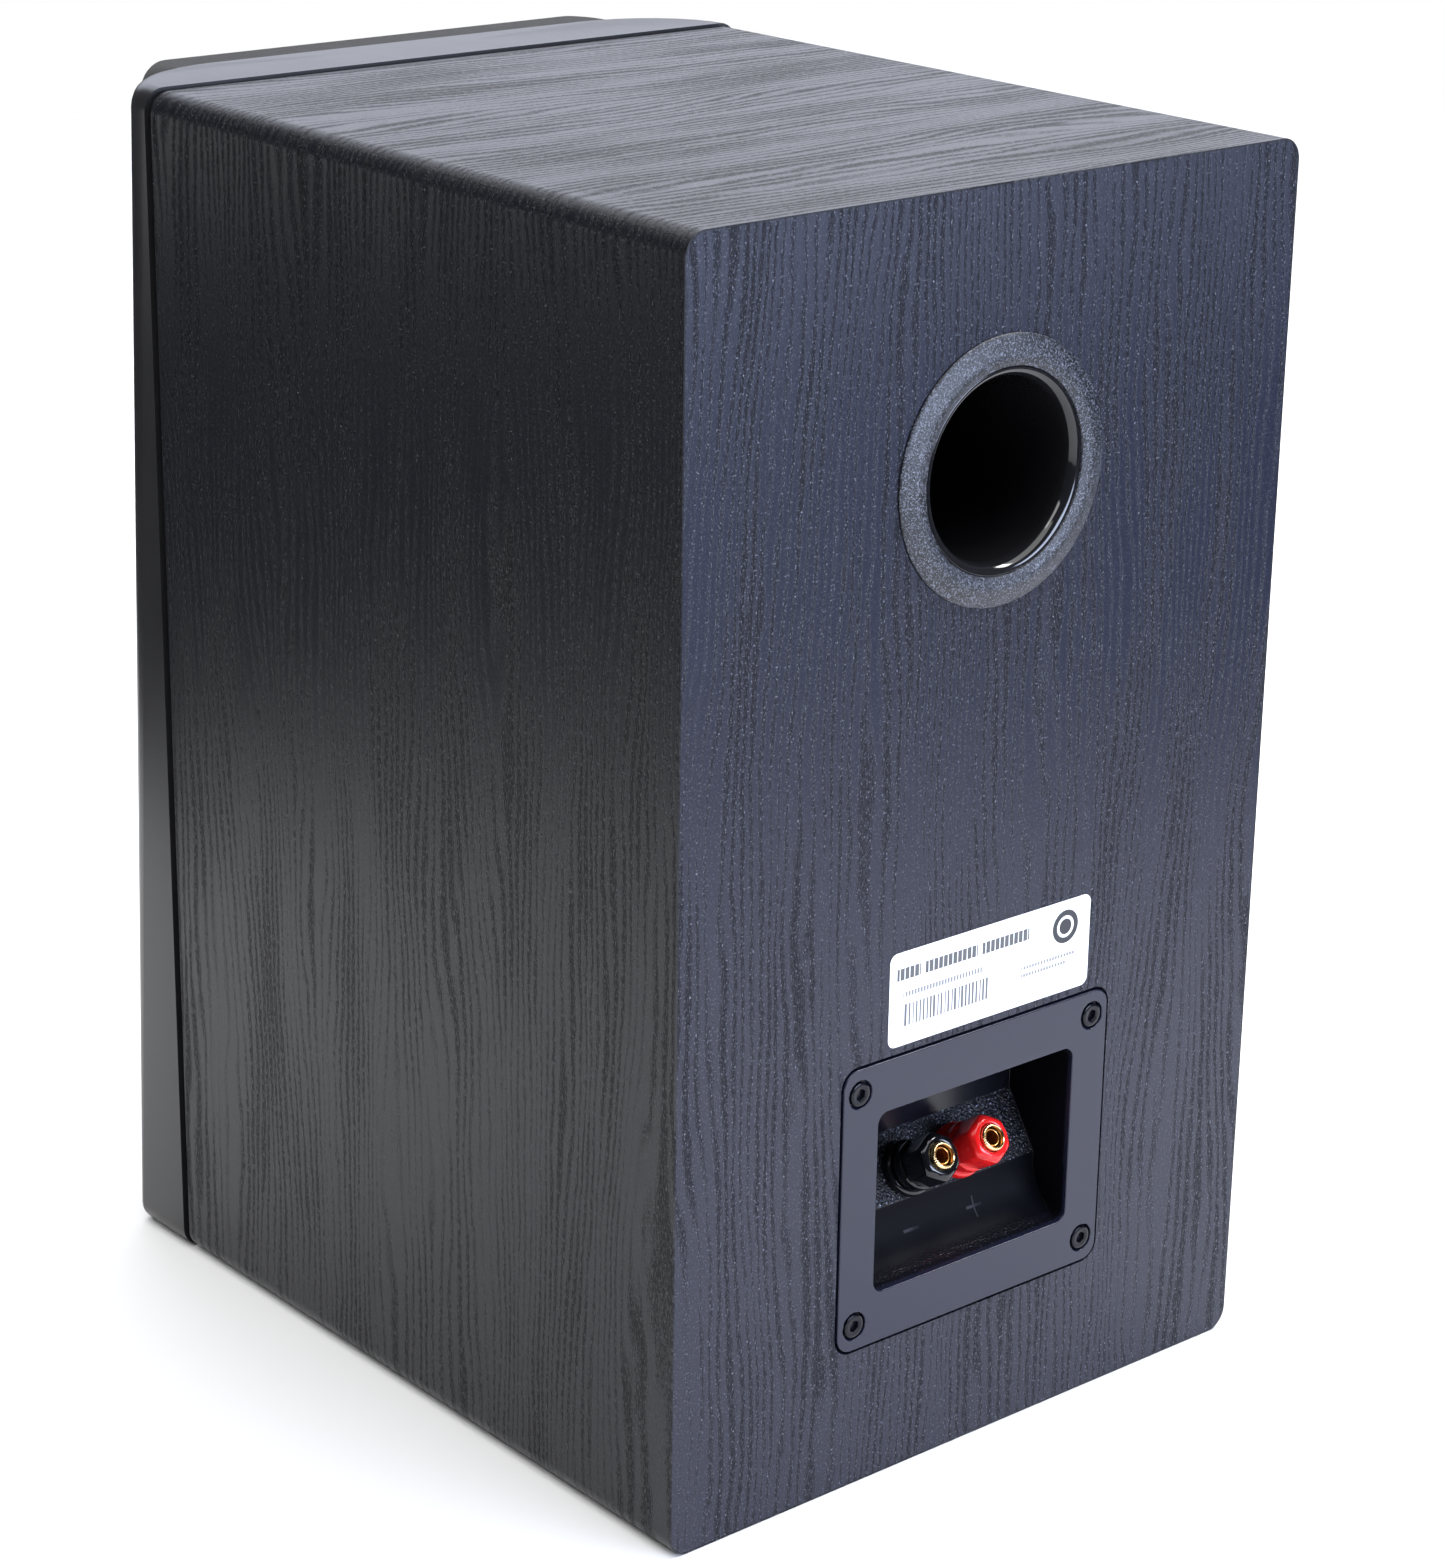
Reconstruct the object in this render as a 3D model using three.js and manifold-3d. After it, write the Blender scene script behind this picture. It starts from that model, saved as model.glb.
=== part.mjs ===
// A rear-ported two-way bookshelf loudspeaker, in millimetres, +Z up.
// The grille faces -Y and the terminals face +Y. The origin is at the centre of the base.
import * as THREE from 'three';
import { mergeVertices } from 'three/addons/utils/BufferGeometryUtils.js';
import Module from 'manifold-3d';

// ---------------------------------------------------------------- driving dimensions

// Clearances
const pieceGap = 0.3; // between pieces that touch
const mitreGap = 0.05; // between mitred boards

// Cabinet
const cabinetWidth = 215;
const cabinetHeight = 358;
const cabinetDepth = 234; // wood only, rear face to front edge
const boardThickness = 15;
const cabinetEdgeRadius = 6.5; // on the four long edges
const rearLip = 0.5; // edge of the walls left showing round the rear panel
const baffleThickness = 18;

// Front fascia
const fasciaDepth = 29; // front edge of the wood to the fascia's front face
const fasciaOverhang = 0.8; // beyond the wood at the top and sides
const fasciaWall = 4;
const grooveWidth = 1.6; // shadow groove between fascia and wood
const grooveDepth = 2.2;
const cheekRoundBottom = 4; // rounding of the upright front corners, seen from above
const cheekRoundTop = 34;
const cheekDepthTop = 26.5;
const wellWall = 6; // ring round each driver's hole

// Grille
const grilleSideMargin = 19.5; // cabinet's side to grille's side
const grilleDepth = 17.5;
const grilleMargin = 0.8; // below the fascia's top and above its bottom
const grilleCornerRadius = 9;
const grilleSideRound = 14; // rounding of the sides, seen from above
const grilleEdgeRound = 1.6; // rounding of the top and bottom edges
const clothThickness = 0.8;
const grilleRail = 13;
const grilleBarHeight = 12;
const pegRadius = 4;
const pegLength = 9;
const pegSideDistance = 18; // from the grille's side to a peg's centre
const pegEndDistance = 10; // from its top or bottom edge
const cupWall = 2.2;

// Woofer
const wooferZ = 118;
const wooferRadius = 84;
const wooferFlange = 4.5;
const wooferSeatWidth = 11.4; // of the flange on the fascia
const wooferRimWidth = 7.5; // metal rim left showing round the surround
const surroundGlueWidth = 5;
const surroundRollWidth = 12;
const coneDepth = 26;
const coneThickness = 1;
const dustCapRadius = 25;
const dustCapRise = 9;
const coilRadius = 17.3;
const coilThickness = 1;
const coilWinding = 0.5;
const spiderDepth = 40; // behind the fascia's face
const spiderWaves = 6;
const poleVent = 5; // radius
const basketThroat = 50; // radius at the magnet end
const basketDepth = 60;
const basketWall = 2;
const basketWindows = 8;
const basketWindowWidth = 26;
const wooferPlateRadius = 46;
const wooferPlateThickness = 6;
const wooferMagnetRadius = 50;
const wooferMagnetThickness = 18;

// Tweeter
const tweeterBelowTop = 90.8; // its centre below the fascia's top
const tweeterRadius = 52;
const tweeterFlange = 4;
const tweeterSeatWidth = 11;
const domeRadius = 12.7;
const domeRise = 4.2;
const tweeterPlateRadius = 36;
const tweeterPlateThickness = 4;
const tweeterMagnetThickness = 12;
const tweeterChamberDepth = 18;
const tweeterChamberWall = 2;

// Port
const portBelowTop = 75.6; // its centre below the cabinet's top
const portBoreRadius = 24.6;
const portFlareWidth = 3.3; // mouth of the flare beyond the bore
const portRingWidth = 8.5; // textured ring round the flare
const portBevelWidth = 5.6; // its outer part, which falls away to the rear panel
const portProud = 2.2; // beyond the rear face
const portWall = 2;
const portLength = 118;
const portFlareDepth = 12;
const portEndFlare = 5; // of the tube's inner end
const portRingDepth = 10; // of the flange inside the rear panel

// Terminal cup
const terminalZ = 83.5;
const plateWidth = 98.9;
const plateHeight = 83.7;
const plateThickness = 3;
const plateProud = 0.4;
const plateCornerRadius = 5;
const plateSideGap = 0.8;
const pocketWidth = 73.4;
const pocketHeight = 53.6;
const pocketCornerRadius = 3.5;
const pocketDepth = 24; // to the wall above the ledge
const pocketLowerDepth = 13.3; // to the concave panel below the ledge
const pocketWall = 2.2;
const gasketThickness = 1;
const screwSideDistance = 5.95; // from the plate's side
const screwEndDistance = 7.35; // from its top or bottom edge
const screwRadius = 1.7;
const screwLength = 13;
const screwHeadRadius = 3.4;
const screwHeadHeight = 1.7;
const screwSocketRadius = 1.7; // across the corners of the hexagon
const counterboreRadius = 4.1;
const counterboreDepth = 1.9;

// Binding posts
const postSpacing = 19;
const postTilt = THREE.MathUtils.degToRad(33); // upwards from straight out
const ledgeBehindFace = 17.5; // the posts' feet on the ledge, behind the rear face
const ledgeBelowCentre = 4; // their height below the plate's centre
const studRadius = 2.6;
const bananaRadius = 2.02;
const bananaDepth = 13;
const studInside = 14; // behind the ledge's face
const studReach = 17.6; // in front of it
const collarRadius = 8;
const collarHeight = 2.8;
const washerRadius = 6.4;
const washerThickness = 0.8;
const capReach = 18.6; // the cap's tip in front of the ledge's face
const capAcrossFlats = 13.2;
const capCollarRadius = 7.3;
const capCollarHeight = 3;
const sleeveRadius = 4.25;
const nutRadius = 4.6;
const nutHeight = 3;

// Inside
const braceAboveWoofer = 94; // centre to centre
const braceThickness = 12;
const braceDepth = 45;
const padThickness = 20;
const padInset = 4; // from the boards above, below, in front and behind
const boardLength = 90;
const boardWidth = 92;
const boardNearY = 8;
const circuitThickness = 1.6;
const leadRadius = 1.4;

// Roundness
const fine = 40;
const medium = 28;
const coarse = 16;

// ---------------------------------------------------------------- derived places

const grilleWidth = cabinetWidth - 2 * grilleSideMargin;
const pegSpread = grilleWidth - 2 * pegSideDistance;
const wooferHoleRadius = wooferRadius - wooferSeatWidth;
const surroundOuter = wooferRadius - wooferRimWidth;
const surroundRollOuter = surroundOuter - surroundGlueWidth;
const surroundRollInner = surroundRollOuter - surroundRollWidth;
const tweeterHoleRadius = tweeterRadius - tweeterSeatWidth;
const portRingInner = portBoreRadius + portFlareWidth;
const portFlangeRadius = portRingInner + portRingWidth;
const screwSpacingX = plateWidth - 2 * screwSideDistance;
const screwSpacingZ = plateHeight - 2 * screwEndDistance;
const ledgeZ = terminalZ - ledgeBelowCentre;
const braceZ = wooferZ + braceAboveWoofer;
const grilleReach = fasciaDepth + grilleDepth;
const rearY = (portProud + cabinetDepth + grilleReach) / 2 - portProud;
const woodFrontY = rearY - cabinetDepth;
const fasciaFrontY = woodFrontY - fasciaDepth;
const fasciaTopZ = cabinetHeight + fasciaOverhang;
const fasciaHalfWidth = cabinetWidth / 2 + fasciaOverhang;
const tweeterZ = fasciaTopZ - tweeterBelowTop;
const portZ = cabinetHeight - portBelowTop;
const innerX = cabinetWidth / 2 - boardThickness;
const innerTopZ = cabinetHeight - boardThickness;
const rearInnerY = rearY - boardThickness;
const baffleBackY = woodFrontY + baffleThickness;
const grilleLowZ = grilleMargin;
const grilleHighZ = fasciaTopZ - grilleMargin;
const wellBackY = woodFrontY - pieceGap;
const postAxis = new THREE.Vector3(0, Math.cos(postTilt), Math.sin(postTilt));

// ---------------------------------------------------------------- solid helpers

const wasm = await Module();
wasm.setup();

// Reverses a closed surface whose faces point inwards.
function facingOut(geometry) {
  const points = geometry.getAttribute('position');
  const index = geometry.index.array;
  const corner = [0, 1, 2].map(() => new THREE.Vector3());
  let volume = 0;
  for (let i = 0; i < index.length; i += 3) {
    corner.forEach((vertex, k) => vertex.fromBufferAttribute(points, index[i + k]));
    volume += corner[0].dot(corner[1].cross(corner[2]));
  }
  if (volume < 0) index.reverse();
  return geometry;
}

// Shared vertices merged, and the faces that shrink to a line dropped.
function closedSurface(geometry) {
  const bare = geometry.index ? geometry.toNonIndexed() : geometry.clone();
  bare.deleteAttribute('normal');
  bare.deleteAttribute('uv');
  const merged = mergeVertices(bare, 1e-4);
  const index = merged.index.array;
  const kept = [];
  for (let i = 0; i < index.length; i += 3) {
    const [a, b, c] = index.subarray(i, i + 3);
    if (a !== b && b !== c && c !== a) kept.push(a, b, c);
  }
  return facingOut(merged.setIndex(kept));
}

function toSolid(geometry) {
  const surface = closedSurface(geometry);
  return new wasm.Manifold(new wasm.Mesh({
    numProp: 3,
    vertProperties: surface.getAttribute('position').array,
    triVerts: new Uint32Array(surface.index.array),
  }));
}

function toGeometry(solid) {
  const mesh = solid.getMesh();
  const geometry = new THREE.BufferGeometry();
  geometry.setAttribute('position', new THREE.BufferAttribute(mesh.vertProperties, 3));
  geometry.setIndex(new THREE.BufferAttribute(mesh.triVerts, 1));
  return geometry;
}

const cut = (body, ...tools) =>
  toGeometry(tools.reduce((left, tool) => left.subtract(toSolid(tool)), toSolid(body)));

const join = (body, ...others) =>
  toGeometry(others.reduce((sum, other) => sum.add(toSolid(other)), toSolid(body)));

const common = (body, other) => toGeometry(toSolid(body).intersect(toSolid(other)));

// ---------------------------------------------------------------- shape helpers

// A shape drawn in x and z, extruded between two places along Y.
function alongY(shape, fromY, toY, curveSegments = 5) {
  const depth = toY - fromY;
  const body = new THREE.ExtrudeGeometry(shape, { depth, bevelEnabled: false, curveSegments });
  return body.rotateX(Math.PI / 2).translate(0, toY, 0);
}

// A shape drawn in y and z, extruded symmetrically across X.
function acrossX(shape, width, curveSegments = 8) {
  const body = new THREE.ExtrudeGeometry(shape, { depth: width, bevelEnabled: false, curveSegments });
  return body.rotateX(Math.PI / 2).rotateZ(Math.PI / 2).translate(-width / 2, 0, 0);
}

function roundedRectangle(centreX, centreZ, width, height, radius) {
  const right = centreX + width / 2 - radius;
  const left = centreX - width / 2 + radius;
  const top = centreZ + height / 2 - radius;
  const bottom = centreZ - height / 2 + radius;
  const quarter = Math.PI / 2;
  return new THREE.Shape()
    .absarc(right, top, radius, 0, quarter)
    .absarc(left, top, radius, quarter, 2 * quarter)
    .absarc(left, bottom, radius, 2 * quarter, 3 * quarter)
    .absarc(right, bottom, radius, 3 * quarter, 4 * quarter);
}

function box(fromX, toX, fromY, toY, fromZ, toZ) {
  const body = new THREE.BoxGeometry(toX - fromX, toY - fromY, toZ - fromZ);
  return body.translate((fromX + toX) / 2, (fromY + toY) / 2, (fromZ + toZ) / 2);
}

// A round rod along Y.
function rodAlongY(x, z, radius, fromY, toY, segments = coarse) {
  const rod = new THREE.CylinderGeometry(radius, radius, toY - fromY, segments);
  return rod.translate(x, (fromY + toY) / 2, z);
}

// A round piece about an axis along Y: the closed outline is a list of [radius, y].
function turned(outline, segments = medium) {
  const loop = [...outline, outline[0]].map(([radius, y]) => new THREE.Vector2(radius, y));
  return closedSurface(new THREE.LatheGeometry(loop, segments));
}

// Points of an elliptical arc, as [radius, y].
function arcPoints(centreR, centreY, sizeR, sizeY, fromAngle, toAngle, steps) {
  return Array.from({ length: steps + 1 }, (_, i) => {
    const angle = fromAngle + (toAngle - fromAngle) * i / steps;
    return [centreR + sizeR * Math.cos(angle), centreY + sizeY * Math.sin(angle)];
  });
}

// A skin over rings that each have the same number of points, closed at both ends.
function loft(rings) {
  const count = rings[0].length;
  const points = rings.flat();
  const faces = [];
  rings.slice(1).forEach((_, i) => {
    for (let k = 0; k < count; k++) {
      const next = (k + 1) % count;
      const [a, b] = [i * count + k, i * count + next];
      faces.push(a, b, a + count, b, b + count, a + count);
    }
  });
  const closeEnd = (ring, first, reverse) => {
    const centre = points.length;
    points.push(ring.reduce((sum, p) => sum.add(p), new THREE.Vector3()).divideScalar(count));
    for (let k = 0; k < count; k++) {
      const [a, b] = [first + k, first + (k + 1) % count];
      faces.push(centre, reverse ? b : a, reverse ? a : b);
    }
  };
  closeEnd(rings[0], 0, true);
  closeEnd(rings.at(-1), (rings.length - 1) * count, false);
  const body = new THREE.BufferGeometry().setFromPoints(points);
  return facingOut(body.setIndex(faces));
}

// A rounded rectangle at one place along Y, as a ring of points.
function uprightRing(y, halfWidth, lowZ, highZ, radius, steps = 5) {
  const ring = [];
  const corners = [[1, 1], [-1, 1], [-1, -1], [1, -1]];
  corners.forEach(([sideX, sideZ], quarter) => {
    const centreX = sideX * (halfWidth - radius);
    const centreZ = sideZ > 0 ? highZ - radius : lowZ + radius;
    for (let i = 0; i <= steps; i++) {
      const angle = (quarter + i / steps) * Math.PI / 2;
      const x = centreX + radius * Math.cos(angle);
      ring.push(new THREE.Vector3(x, y, centreZ + radius * Math.sin(angle)));
    }
  });
  return ring;
}

// ---------------------------------------------------------------- scene helpers

const speaker = new THREE.Group();

function finish(color, roughness, metalness = 0) {
  return { color, roughness, metalness };
}

const vinyl = finish(0x3a3d45, 0.55);
const fibreboard = finish(0x8a7458, 0.9);
const mouldedBlack = finish(0x1a1a1c, 0.45);
const clothBlack = finish(0x2a2a2d, 0.95);
const rubberBlack = finish(0x161617, 0.7);
const plateBlack = finish(0x23252c, 0.4);
const coneBlack = finish(0x1d1e20, 0.6);
const steelBlack = finish(0x101012, 0.35, 0.8);
const steelPlain = finish(0x9a9da1, 0.35, 1);
const ferrite = finish(0x2b2b2d, 0.75);
const gilt = finish(0xd8b45a, 0.22, 1);
const redPlastic = finish(0xc40d12, 0.3);
const blackPlastic = finish(0x0c0c0e, 0.25);
const copper = finish(0xb5652a, 0.35, 1);
const amberCloth = finish(0xb58a45, 0.9);
const circuitGreen = finish(0x2d4a32, 0.6);
const capacitorFilm = finish(0x303a6b, 0.4);
const cement = finish(0xd8d4c8, 0.9);
const wadding = finish(0xd9d9d4, 1);

// Adds one named piece to a group.
function add(name, geometry, look, group = speaker) {
  const mesh = new THREE.Mesh(closedSurface(geometry), new THREE.MeshStandardMaterial(look));
  mesh.name = name;
  group.add(mesh);
}

// ---------------------------------------------------------------- cabinet

// The rear panel tapers inwards, so that its edges make a mitre with the walls.
function rearPanelBody(grow = 0) {
  const halfOuter = cabinetWidth / 2 - rearLip + grow;
  const halfInner = halfOuter - boardThickness;
  const lowOuter = rearLip - grow;
  const lowInner = lowOuter + boardThickness;
  const innerCorner = 0.5;
  return loft([
    uprightRing(rearY + grow, halfOuter, lowOuter, cabinetHeight - lowOuter, cabinetEdgeRadius - rearLip),
    uprightRing(rearInnerY - grow, halfInner, lowInner, cabinetHeight - lowInner, innerCorner),
  ]);
}

// Outline of the top board: two half corners and a mitre at each end.
function topBoardShape() {
  const arcX = cabinetWidth / 2 - cabinetEdgeRadius;
  const arcZ = cabinetHeight - cabinetEdgeRadius;
  const trim = mitreGap / 2 / cabinetEdgeRadius;
  const mitreX = innerX - mitreGap * Math.SQRT1_2;
  return new THREE.Shape()
    .absarc(arcX, arcZ, cabinetEdgeRadius, Math.PI / 2, Math.PI / 4 + trim, true)
    .lineTo(mitreX, innerTopZ)
    .lineTo(-mitreX, innerTopZ)
    .absarc(-arcX, arcZ, cabinetEdgeRadius, 3 * Math.PI / 4 - trim, Math.PI / 2, true);
}

// Outline of the side board at +X.
function sideBoardShape() {
  const arcX = cabinetWidth / 2 - cabinetEdgeRadius;
  const trim = mitreGap / 2 / cabinetEdgeRadius;
  const mitreZ = mitreGap * Math.SQRT1_2;
  const arcZ = cabinetHeight - cabinetEdgeRadius;
  return new THREE.Shape()
    .absarc(arcX, cabinetEdgeRadius, cabinetEdgeRadius, -Math.PI / 4 + trim, 0, false)
    .absarc(arcX, arcZ, cabinetEdgeRadius, 0, Math.PI / 4 - trim, false)
    .lineTo(innerX, innerTopZ - mitreZ)
    .lineTo(innerX, boardThickness + mitreZ);
}

function addWalls() {
  const rearCut = rearPanelBody(mitreGap);
  const top = cut(alongY(topBoardShape(), woodFrontY, rearY, 6), rearCut);
  const side = cut(alongY(sideBoardShape(), woodFrontY, rearY, 6), rearCut);
  const bottom = top.clone().rotateY(Math.PI).translate(0, 0, cabinetHeight);
  add('top_panel', top, vinyl);
  add('bottom_panel', bottom, vinyl);
  add('left_side_panel', side.clone().scale(-1, 1, 1), vinyl);
  add('right_side_panel', side, vinyl);
}

function addRearPanel() {
  const recessDepth = plateThickness - plateProud + gasketThickness + 2 * pieceGap;
  const recessWidth = plateWidth + 2 * plateSideGap;
  const recessHeight = plateHeight + 2 * plateSideGap;
  const recessRadius = plateCornerRadius + plateSideGap;
  const recess = roundedRectangle(0, terminalZ, recessWidth, recessHeight, recessRadius);
  const openWidth = pocketWidth + 2 * (pocketWall + pieceGap);
  const openHeight = pocketHeight + 2 * (pocketWall + pieceGap);
  const opening = roundedRectangle(0, terminalZ, openWidth, openHeight, pieceGap);
  const beyond = 1;
  const holes = screwPlaces().map(([x, z]) =>
    rodAlongY(x, z, screwRadius + pieceGap, rearInnerY - beyond, rearY + beyond));
  const portHole = portRingInner + portWall + pieceGap;
  const body = cut(
    rearPanelBody(),
    rodAlongY(0, portZ, portHole, rearInnerY - beyond, rearY + beyond, fine),
    alongY(recess, rearY - recessDepth, rearY + beyond),
    alongY(opening, rearInnerY - beyond, rearY + beyond),
    ...holes,
  );
  add('rear_panel', body, vinyl);
}

function addBaffle() {
  const halfWidth = innerX - pieceGap;
  const lowZ = boardThickness + pieceGap;
  const body = box(-halfWidth, halfWidth, woodFrontY, baffleBackY, lowZ, cabinetHeight - lowZ);
  const hole = (z, radius) => rodAlongY(0, z, radius, woodFrontY - 1, baffleBackY + 1, fine);
  const board = cut(body, hole(wooferZ, wooferHoleRadius), hole(tweeterZ, tweeterHoleRadius));
  add('baffle_board', board, fibreboard);
}

function addBrace() {
  const halfWidth = innerX - pieceGap;
  const halfHeight = braceThickness / 2;
  const body = box(-halfWidth, halfWidth, 0, braceDepth, braceZ - halfHeight, braceZ + halfHeight);
  add('cross_brace', body, fibreboard);
}

function addDampingPads() {
  const outerX = innerX - pieceGap;
  const fromY = baffleBackY + padInset;
  const toY = rearInnerY - padInset;
  const lowZ = boardThickness + padInset;
  const highZ = braceZ - braceThickness / 2 - padInset;
  const pad = box(outerX - padThickness, outerX, fromY, toY, lowZ, highZ);
  add('damping_pad_right', pad, wadding);
  add('damping_pad_left', pad.clone().scale(-1, 1, 1), wadding);
}

// ---------------------------------------------------------------- fascia

// Seen from above, the fascia's outline at one height: square behind, rounded in front.
function cheekRing(z, halfWidth, inset, backY) {
  const share = z / fasciaTopZ;
  const frontY = fasciaFrontY + inset;
  const leastRound = 0.5;
  const roundX = cheekRoundBottom + (cheekRoundTop - cheekRoundBottom) * share - inset;
  const roundY = cheekRoundBottom + (cheekDepthTop - cheekRoundBottom) * share - inset;
  const sizeX = Math.max(roundX, leastRound);
  const sizeY = Math.max(roundY, leastRound);
  const half = arcPoints(halfWidth - sizeX, frontY + sizeY, sizeX, -sizeY, 0, Math.PI / 2, 8);
  const other = half.map(([x, y]) => [-x, y]).reverse();
  const plan = [[halfWidth, backY], ...half, ...other, [-halfWidth, backY]];
  return plan.map(([x, y]) => new THREE.Vector3(x, y, z));
}

// The fascia's form, shrunk by an inset: its corners are rounded in front view as well.
function cheekBody(inset, backY) {
  const radius = Math.max(cabinetEdgeRadius - inset, 1);
  const steps = 6;
  const corner = Array.from({ length: steps + 1 }, (_, i) => {
    const angle = i / steps * Math.PI / 2;
    return { rise: radius * (1 - Math.cos(angle)), shrink: radius * (1 - Math.sin(angle)) };
  });
  const ring = (z, shrink) => cheekRing(z, fasciaHalfWidth - inset - shrink, inset, backY);
  const low = corner.map(({ rise, shrink }) => ring(inset + rise, shrink));
  const high = corner.map(({ rise, shrink }) => ring(fasciaTopZ - inset - rise, shrink)).reverse();
  return loft([...low, ...high]);
}

function pegPlaces() {
  const heights = [grilleLowZ + pegEndDistance, grilleHighZ - pegEndDistance];
  return heights.flatMap((z) => [pegSpread / 2, -pegSpread / 2].map((x) => [x, z]));
}

function addFascia() {
  const shellBackY = wellBackY - grooveWidth;
  const outlineInside = (inset) => roundedRectangle(
    0, cabinetHeight / 2, cabinetWidth - 2 * inset, cabinetHeight - 2 * inset, cabinetEdgeRadius);
  const stepOutline = outlineInside(grooveDepth);
  const innerOutline = outlineInside(grooveDepth + fasciaWall);
  const wellFrontY = fasciaFrontY + fasciaWall / 2;
  const wells = [[wooferZ, wooferRadius], [tweeterZ, tweeterRadius]].map(([z, radius]) =>
    rodAlongY(0, z, radius + wellWall, wellFrontY, wellBackY, fine));
  const cupOuter = pegRadius + pieceGap + cupWall + pieceGap;
  const cupDepth = pegLength + cupWall + 2 * pieceGap;
  const bosses = pegPlaces().map(([x, z]) =>
    rodAlongY(x, z, cupOuter + fasciaWall / 2, wellFrontY, fasciaFrontY + cupDepth + fasciaWall));
  const shell = cut(
    join(cheekBody(0, shellBackY), alongY(stepOutline, shellBackY - 1, wellBackY)),
    cheekBody(fasciaWall, shellBackY - 1),
    alongY(innerOutline, shellBackY - 2, wellBackY + 1),
  );
  const inFront = fasciaFrontY - 1;
  const driverHole = (z, holeRadius, rimRadius, rimDepth) => [
    rodAlongY(0, z, holeRadius, inFront, wellBackY + 1, fine),
    rodAlongY(0, z, rimRadius + pieceGap, inFront, fasciaFrontY + rimDepth + pieceGap, fine),
  ];
  const body = cut(
    join(shell, ...wells, ...bosses),
    ...driverHole(wooferZ, wooferHoleRadius, wooferRadius, wooferFlange),
    ...driverHole(tweeterZ, tweeterHoleRadius, tweeterRadius, tweeterFlange),
    ...pegPlaces().map(([x, z]) => rodAlongY(x, z, cupOuter, inFront, fasciaFrontY + cupDepth)),
  );
  add('front_fascia', body, mouldedBlack);
}

// ---------------------------------------------------------------- grille

// The grille's outer form: its sides round away towards the front.
function grilleForm(inset, backY) {
  const steps = 6;
  const rings = Array.from({ length: steps + 1 }, (_, i) => {
    const angle = i / steps * Math.PI / 2;
    const away = 1 - Math.cos(angle);
    const y = fasciaFrontY - grilleDepth + inset + (grilleSideRound - inset) * (1 - Math.sin(angle));
    const halfWidth = grilleWidth / 2 - inset - (grilleSideRound - inset) * away;
    const edge = (grilleEdgeRound - inset / 2) * away;
    const lowZ = grilleLowZ + inset + edge;
    return uprightRing(y, halfWidth, lowZ, fasciaTopZ - lowZ, grilleCornerRadius - inset);
  });
  const back = uprightRing(
    backY, grilleWidth / 2 - inset, grilleLowZ + inset, grilleHighZ - inset, grilleCornerRadius - inset);
  return loft([back, ...rings]);
}

function addGrille() {
  const backY = fasciaFrontY - pieceGap;
  const cloth = cut(grilleForm(0, backY), grilleForm(clothThickness, backY + 1));
  add('grille_cloth', cloth, clothBlack);

  const inset = clothThickness + pieceGap;
  const barZ = (wooferZ + surroundOuter + tweeterZ - tweeterRadius) / 2;
  const windowWidth = grilleWidth - 2 * (inset + grilleRail);
  const windowAt = (lowZ, highZ) => alongY(
    roundedRectangle(0, (lowZ + highZ) / 2, windowWidth, highZ - lowZ, grilleCornerRadius),
    fasciaFrontY - grilleDepth - 1, backY + 1);
  const frame = cut(
    grilleForm(inset, backY),
    windowAt(grilleLowZ + inset + grilleRail, barZ - grilleBarHeight / 2),
    windowAt(barZ + grilleBarHeight / 2, grilleHighZ - inset - grilleRail),
  );
  const pegs = pegPlaces().map(([x, z]) => rodAlongY(x, z, pegRadius, backY - 1, backY + pegLength));
  add('grille_frame', join(frame, ...pegs), mouldedBlack);

  pegPlaces().forEach(([x, z], i) => {
    const inner = pegRadius + pieceGap;
    const depth = pegLength + pieceGap;
    const floor = depth + cupWall;
    const cup = turned([[0, floor], [inner + cupWall, floor], [inner + cupWall, 0], [inner, 0],
      [inner, depth], [0, depth]], coarse);
    add(`grille_cup_${i + 1}`, cup.translate(x, fasciaFrontY, z), rubberBlack);
  });
}

// ---------------------------------------------------------------- woofer

// Turns a piece about a driver's axis: y is measured backwards from the fascia's front face.
const onAxis = (outline, z, segments) => turned(outline, segments).translate(0, fasciaFrontY, z);

function wooferBasket() {
  const ledge = 1.5; // the surround's rim lies in this step
  const ledgeInner = surroundRollOuter - pieceGap;
  const body = onAxis([
    [wooferRadius, 0], [surroundOuter + pieceGap, 0], [surroundOuter + pieceGap, ledge],
    [ledgeInner, ledge], [ledgeInner - basketWall, wooferFlange + 7],
    [basketThroat - basketWall, basketDepth - 10], [basketThroat - basketWall, basketDepth - basketWall],
    [coilRadius + 4, basketDepth - basketWall], [coilRadius + 4, basketDepth],
    [basketThroat, basketDepth], [basketThroat, basketDepth - 10],
    [ledgeInner + basketWall / 4, wooferFlange + 7], [ledgeInner + basketWall / 4, wooferFlange],
    [wooferRadius, wooferFlange],
  ], wooferZ, fine);
  const windowFromY = fasciaFrontY + wooferFlange + 13;
  const windowToY = fasciaFrontY + basketDepth - 17;
  const windows = Array.from({ length: basketWindows }, (_, i) => {
    const half = basketWindowWidth / 2;
    const slot = box(-half, half, windowFromY, windowToY, 0, wooferRadius);
    const angle = (i + 0.5) * 2 * Math.PI / basketWindows;
    return slot.rotateY(angle).translate(0, 0, wooferZ);
  });
  return cut(body, ...windows);
}

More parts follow.
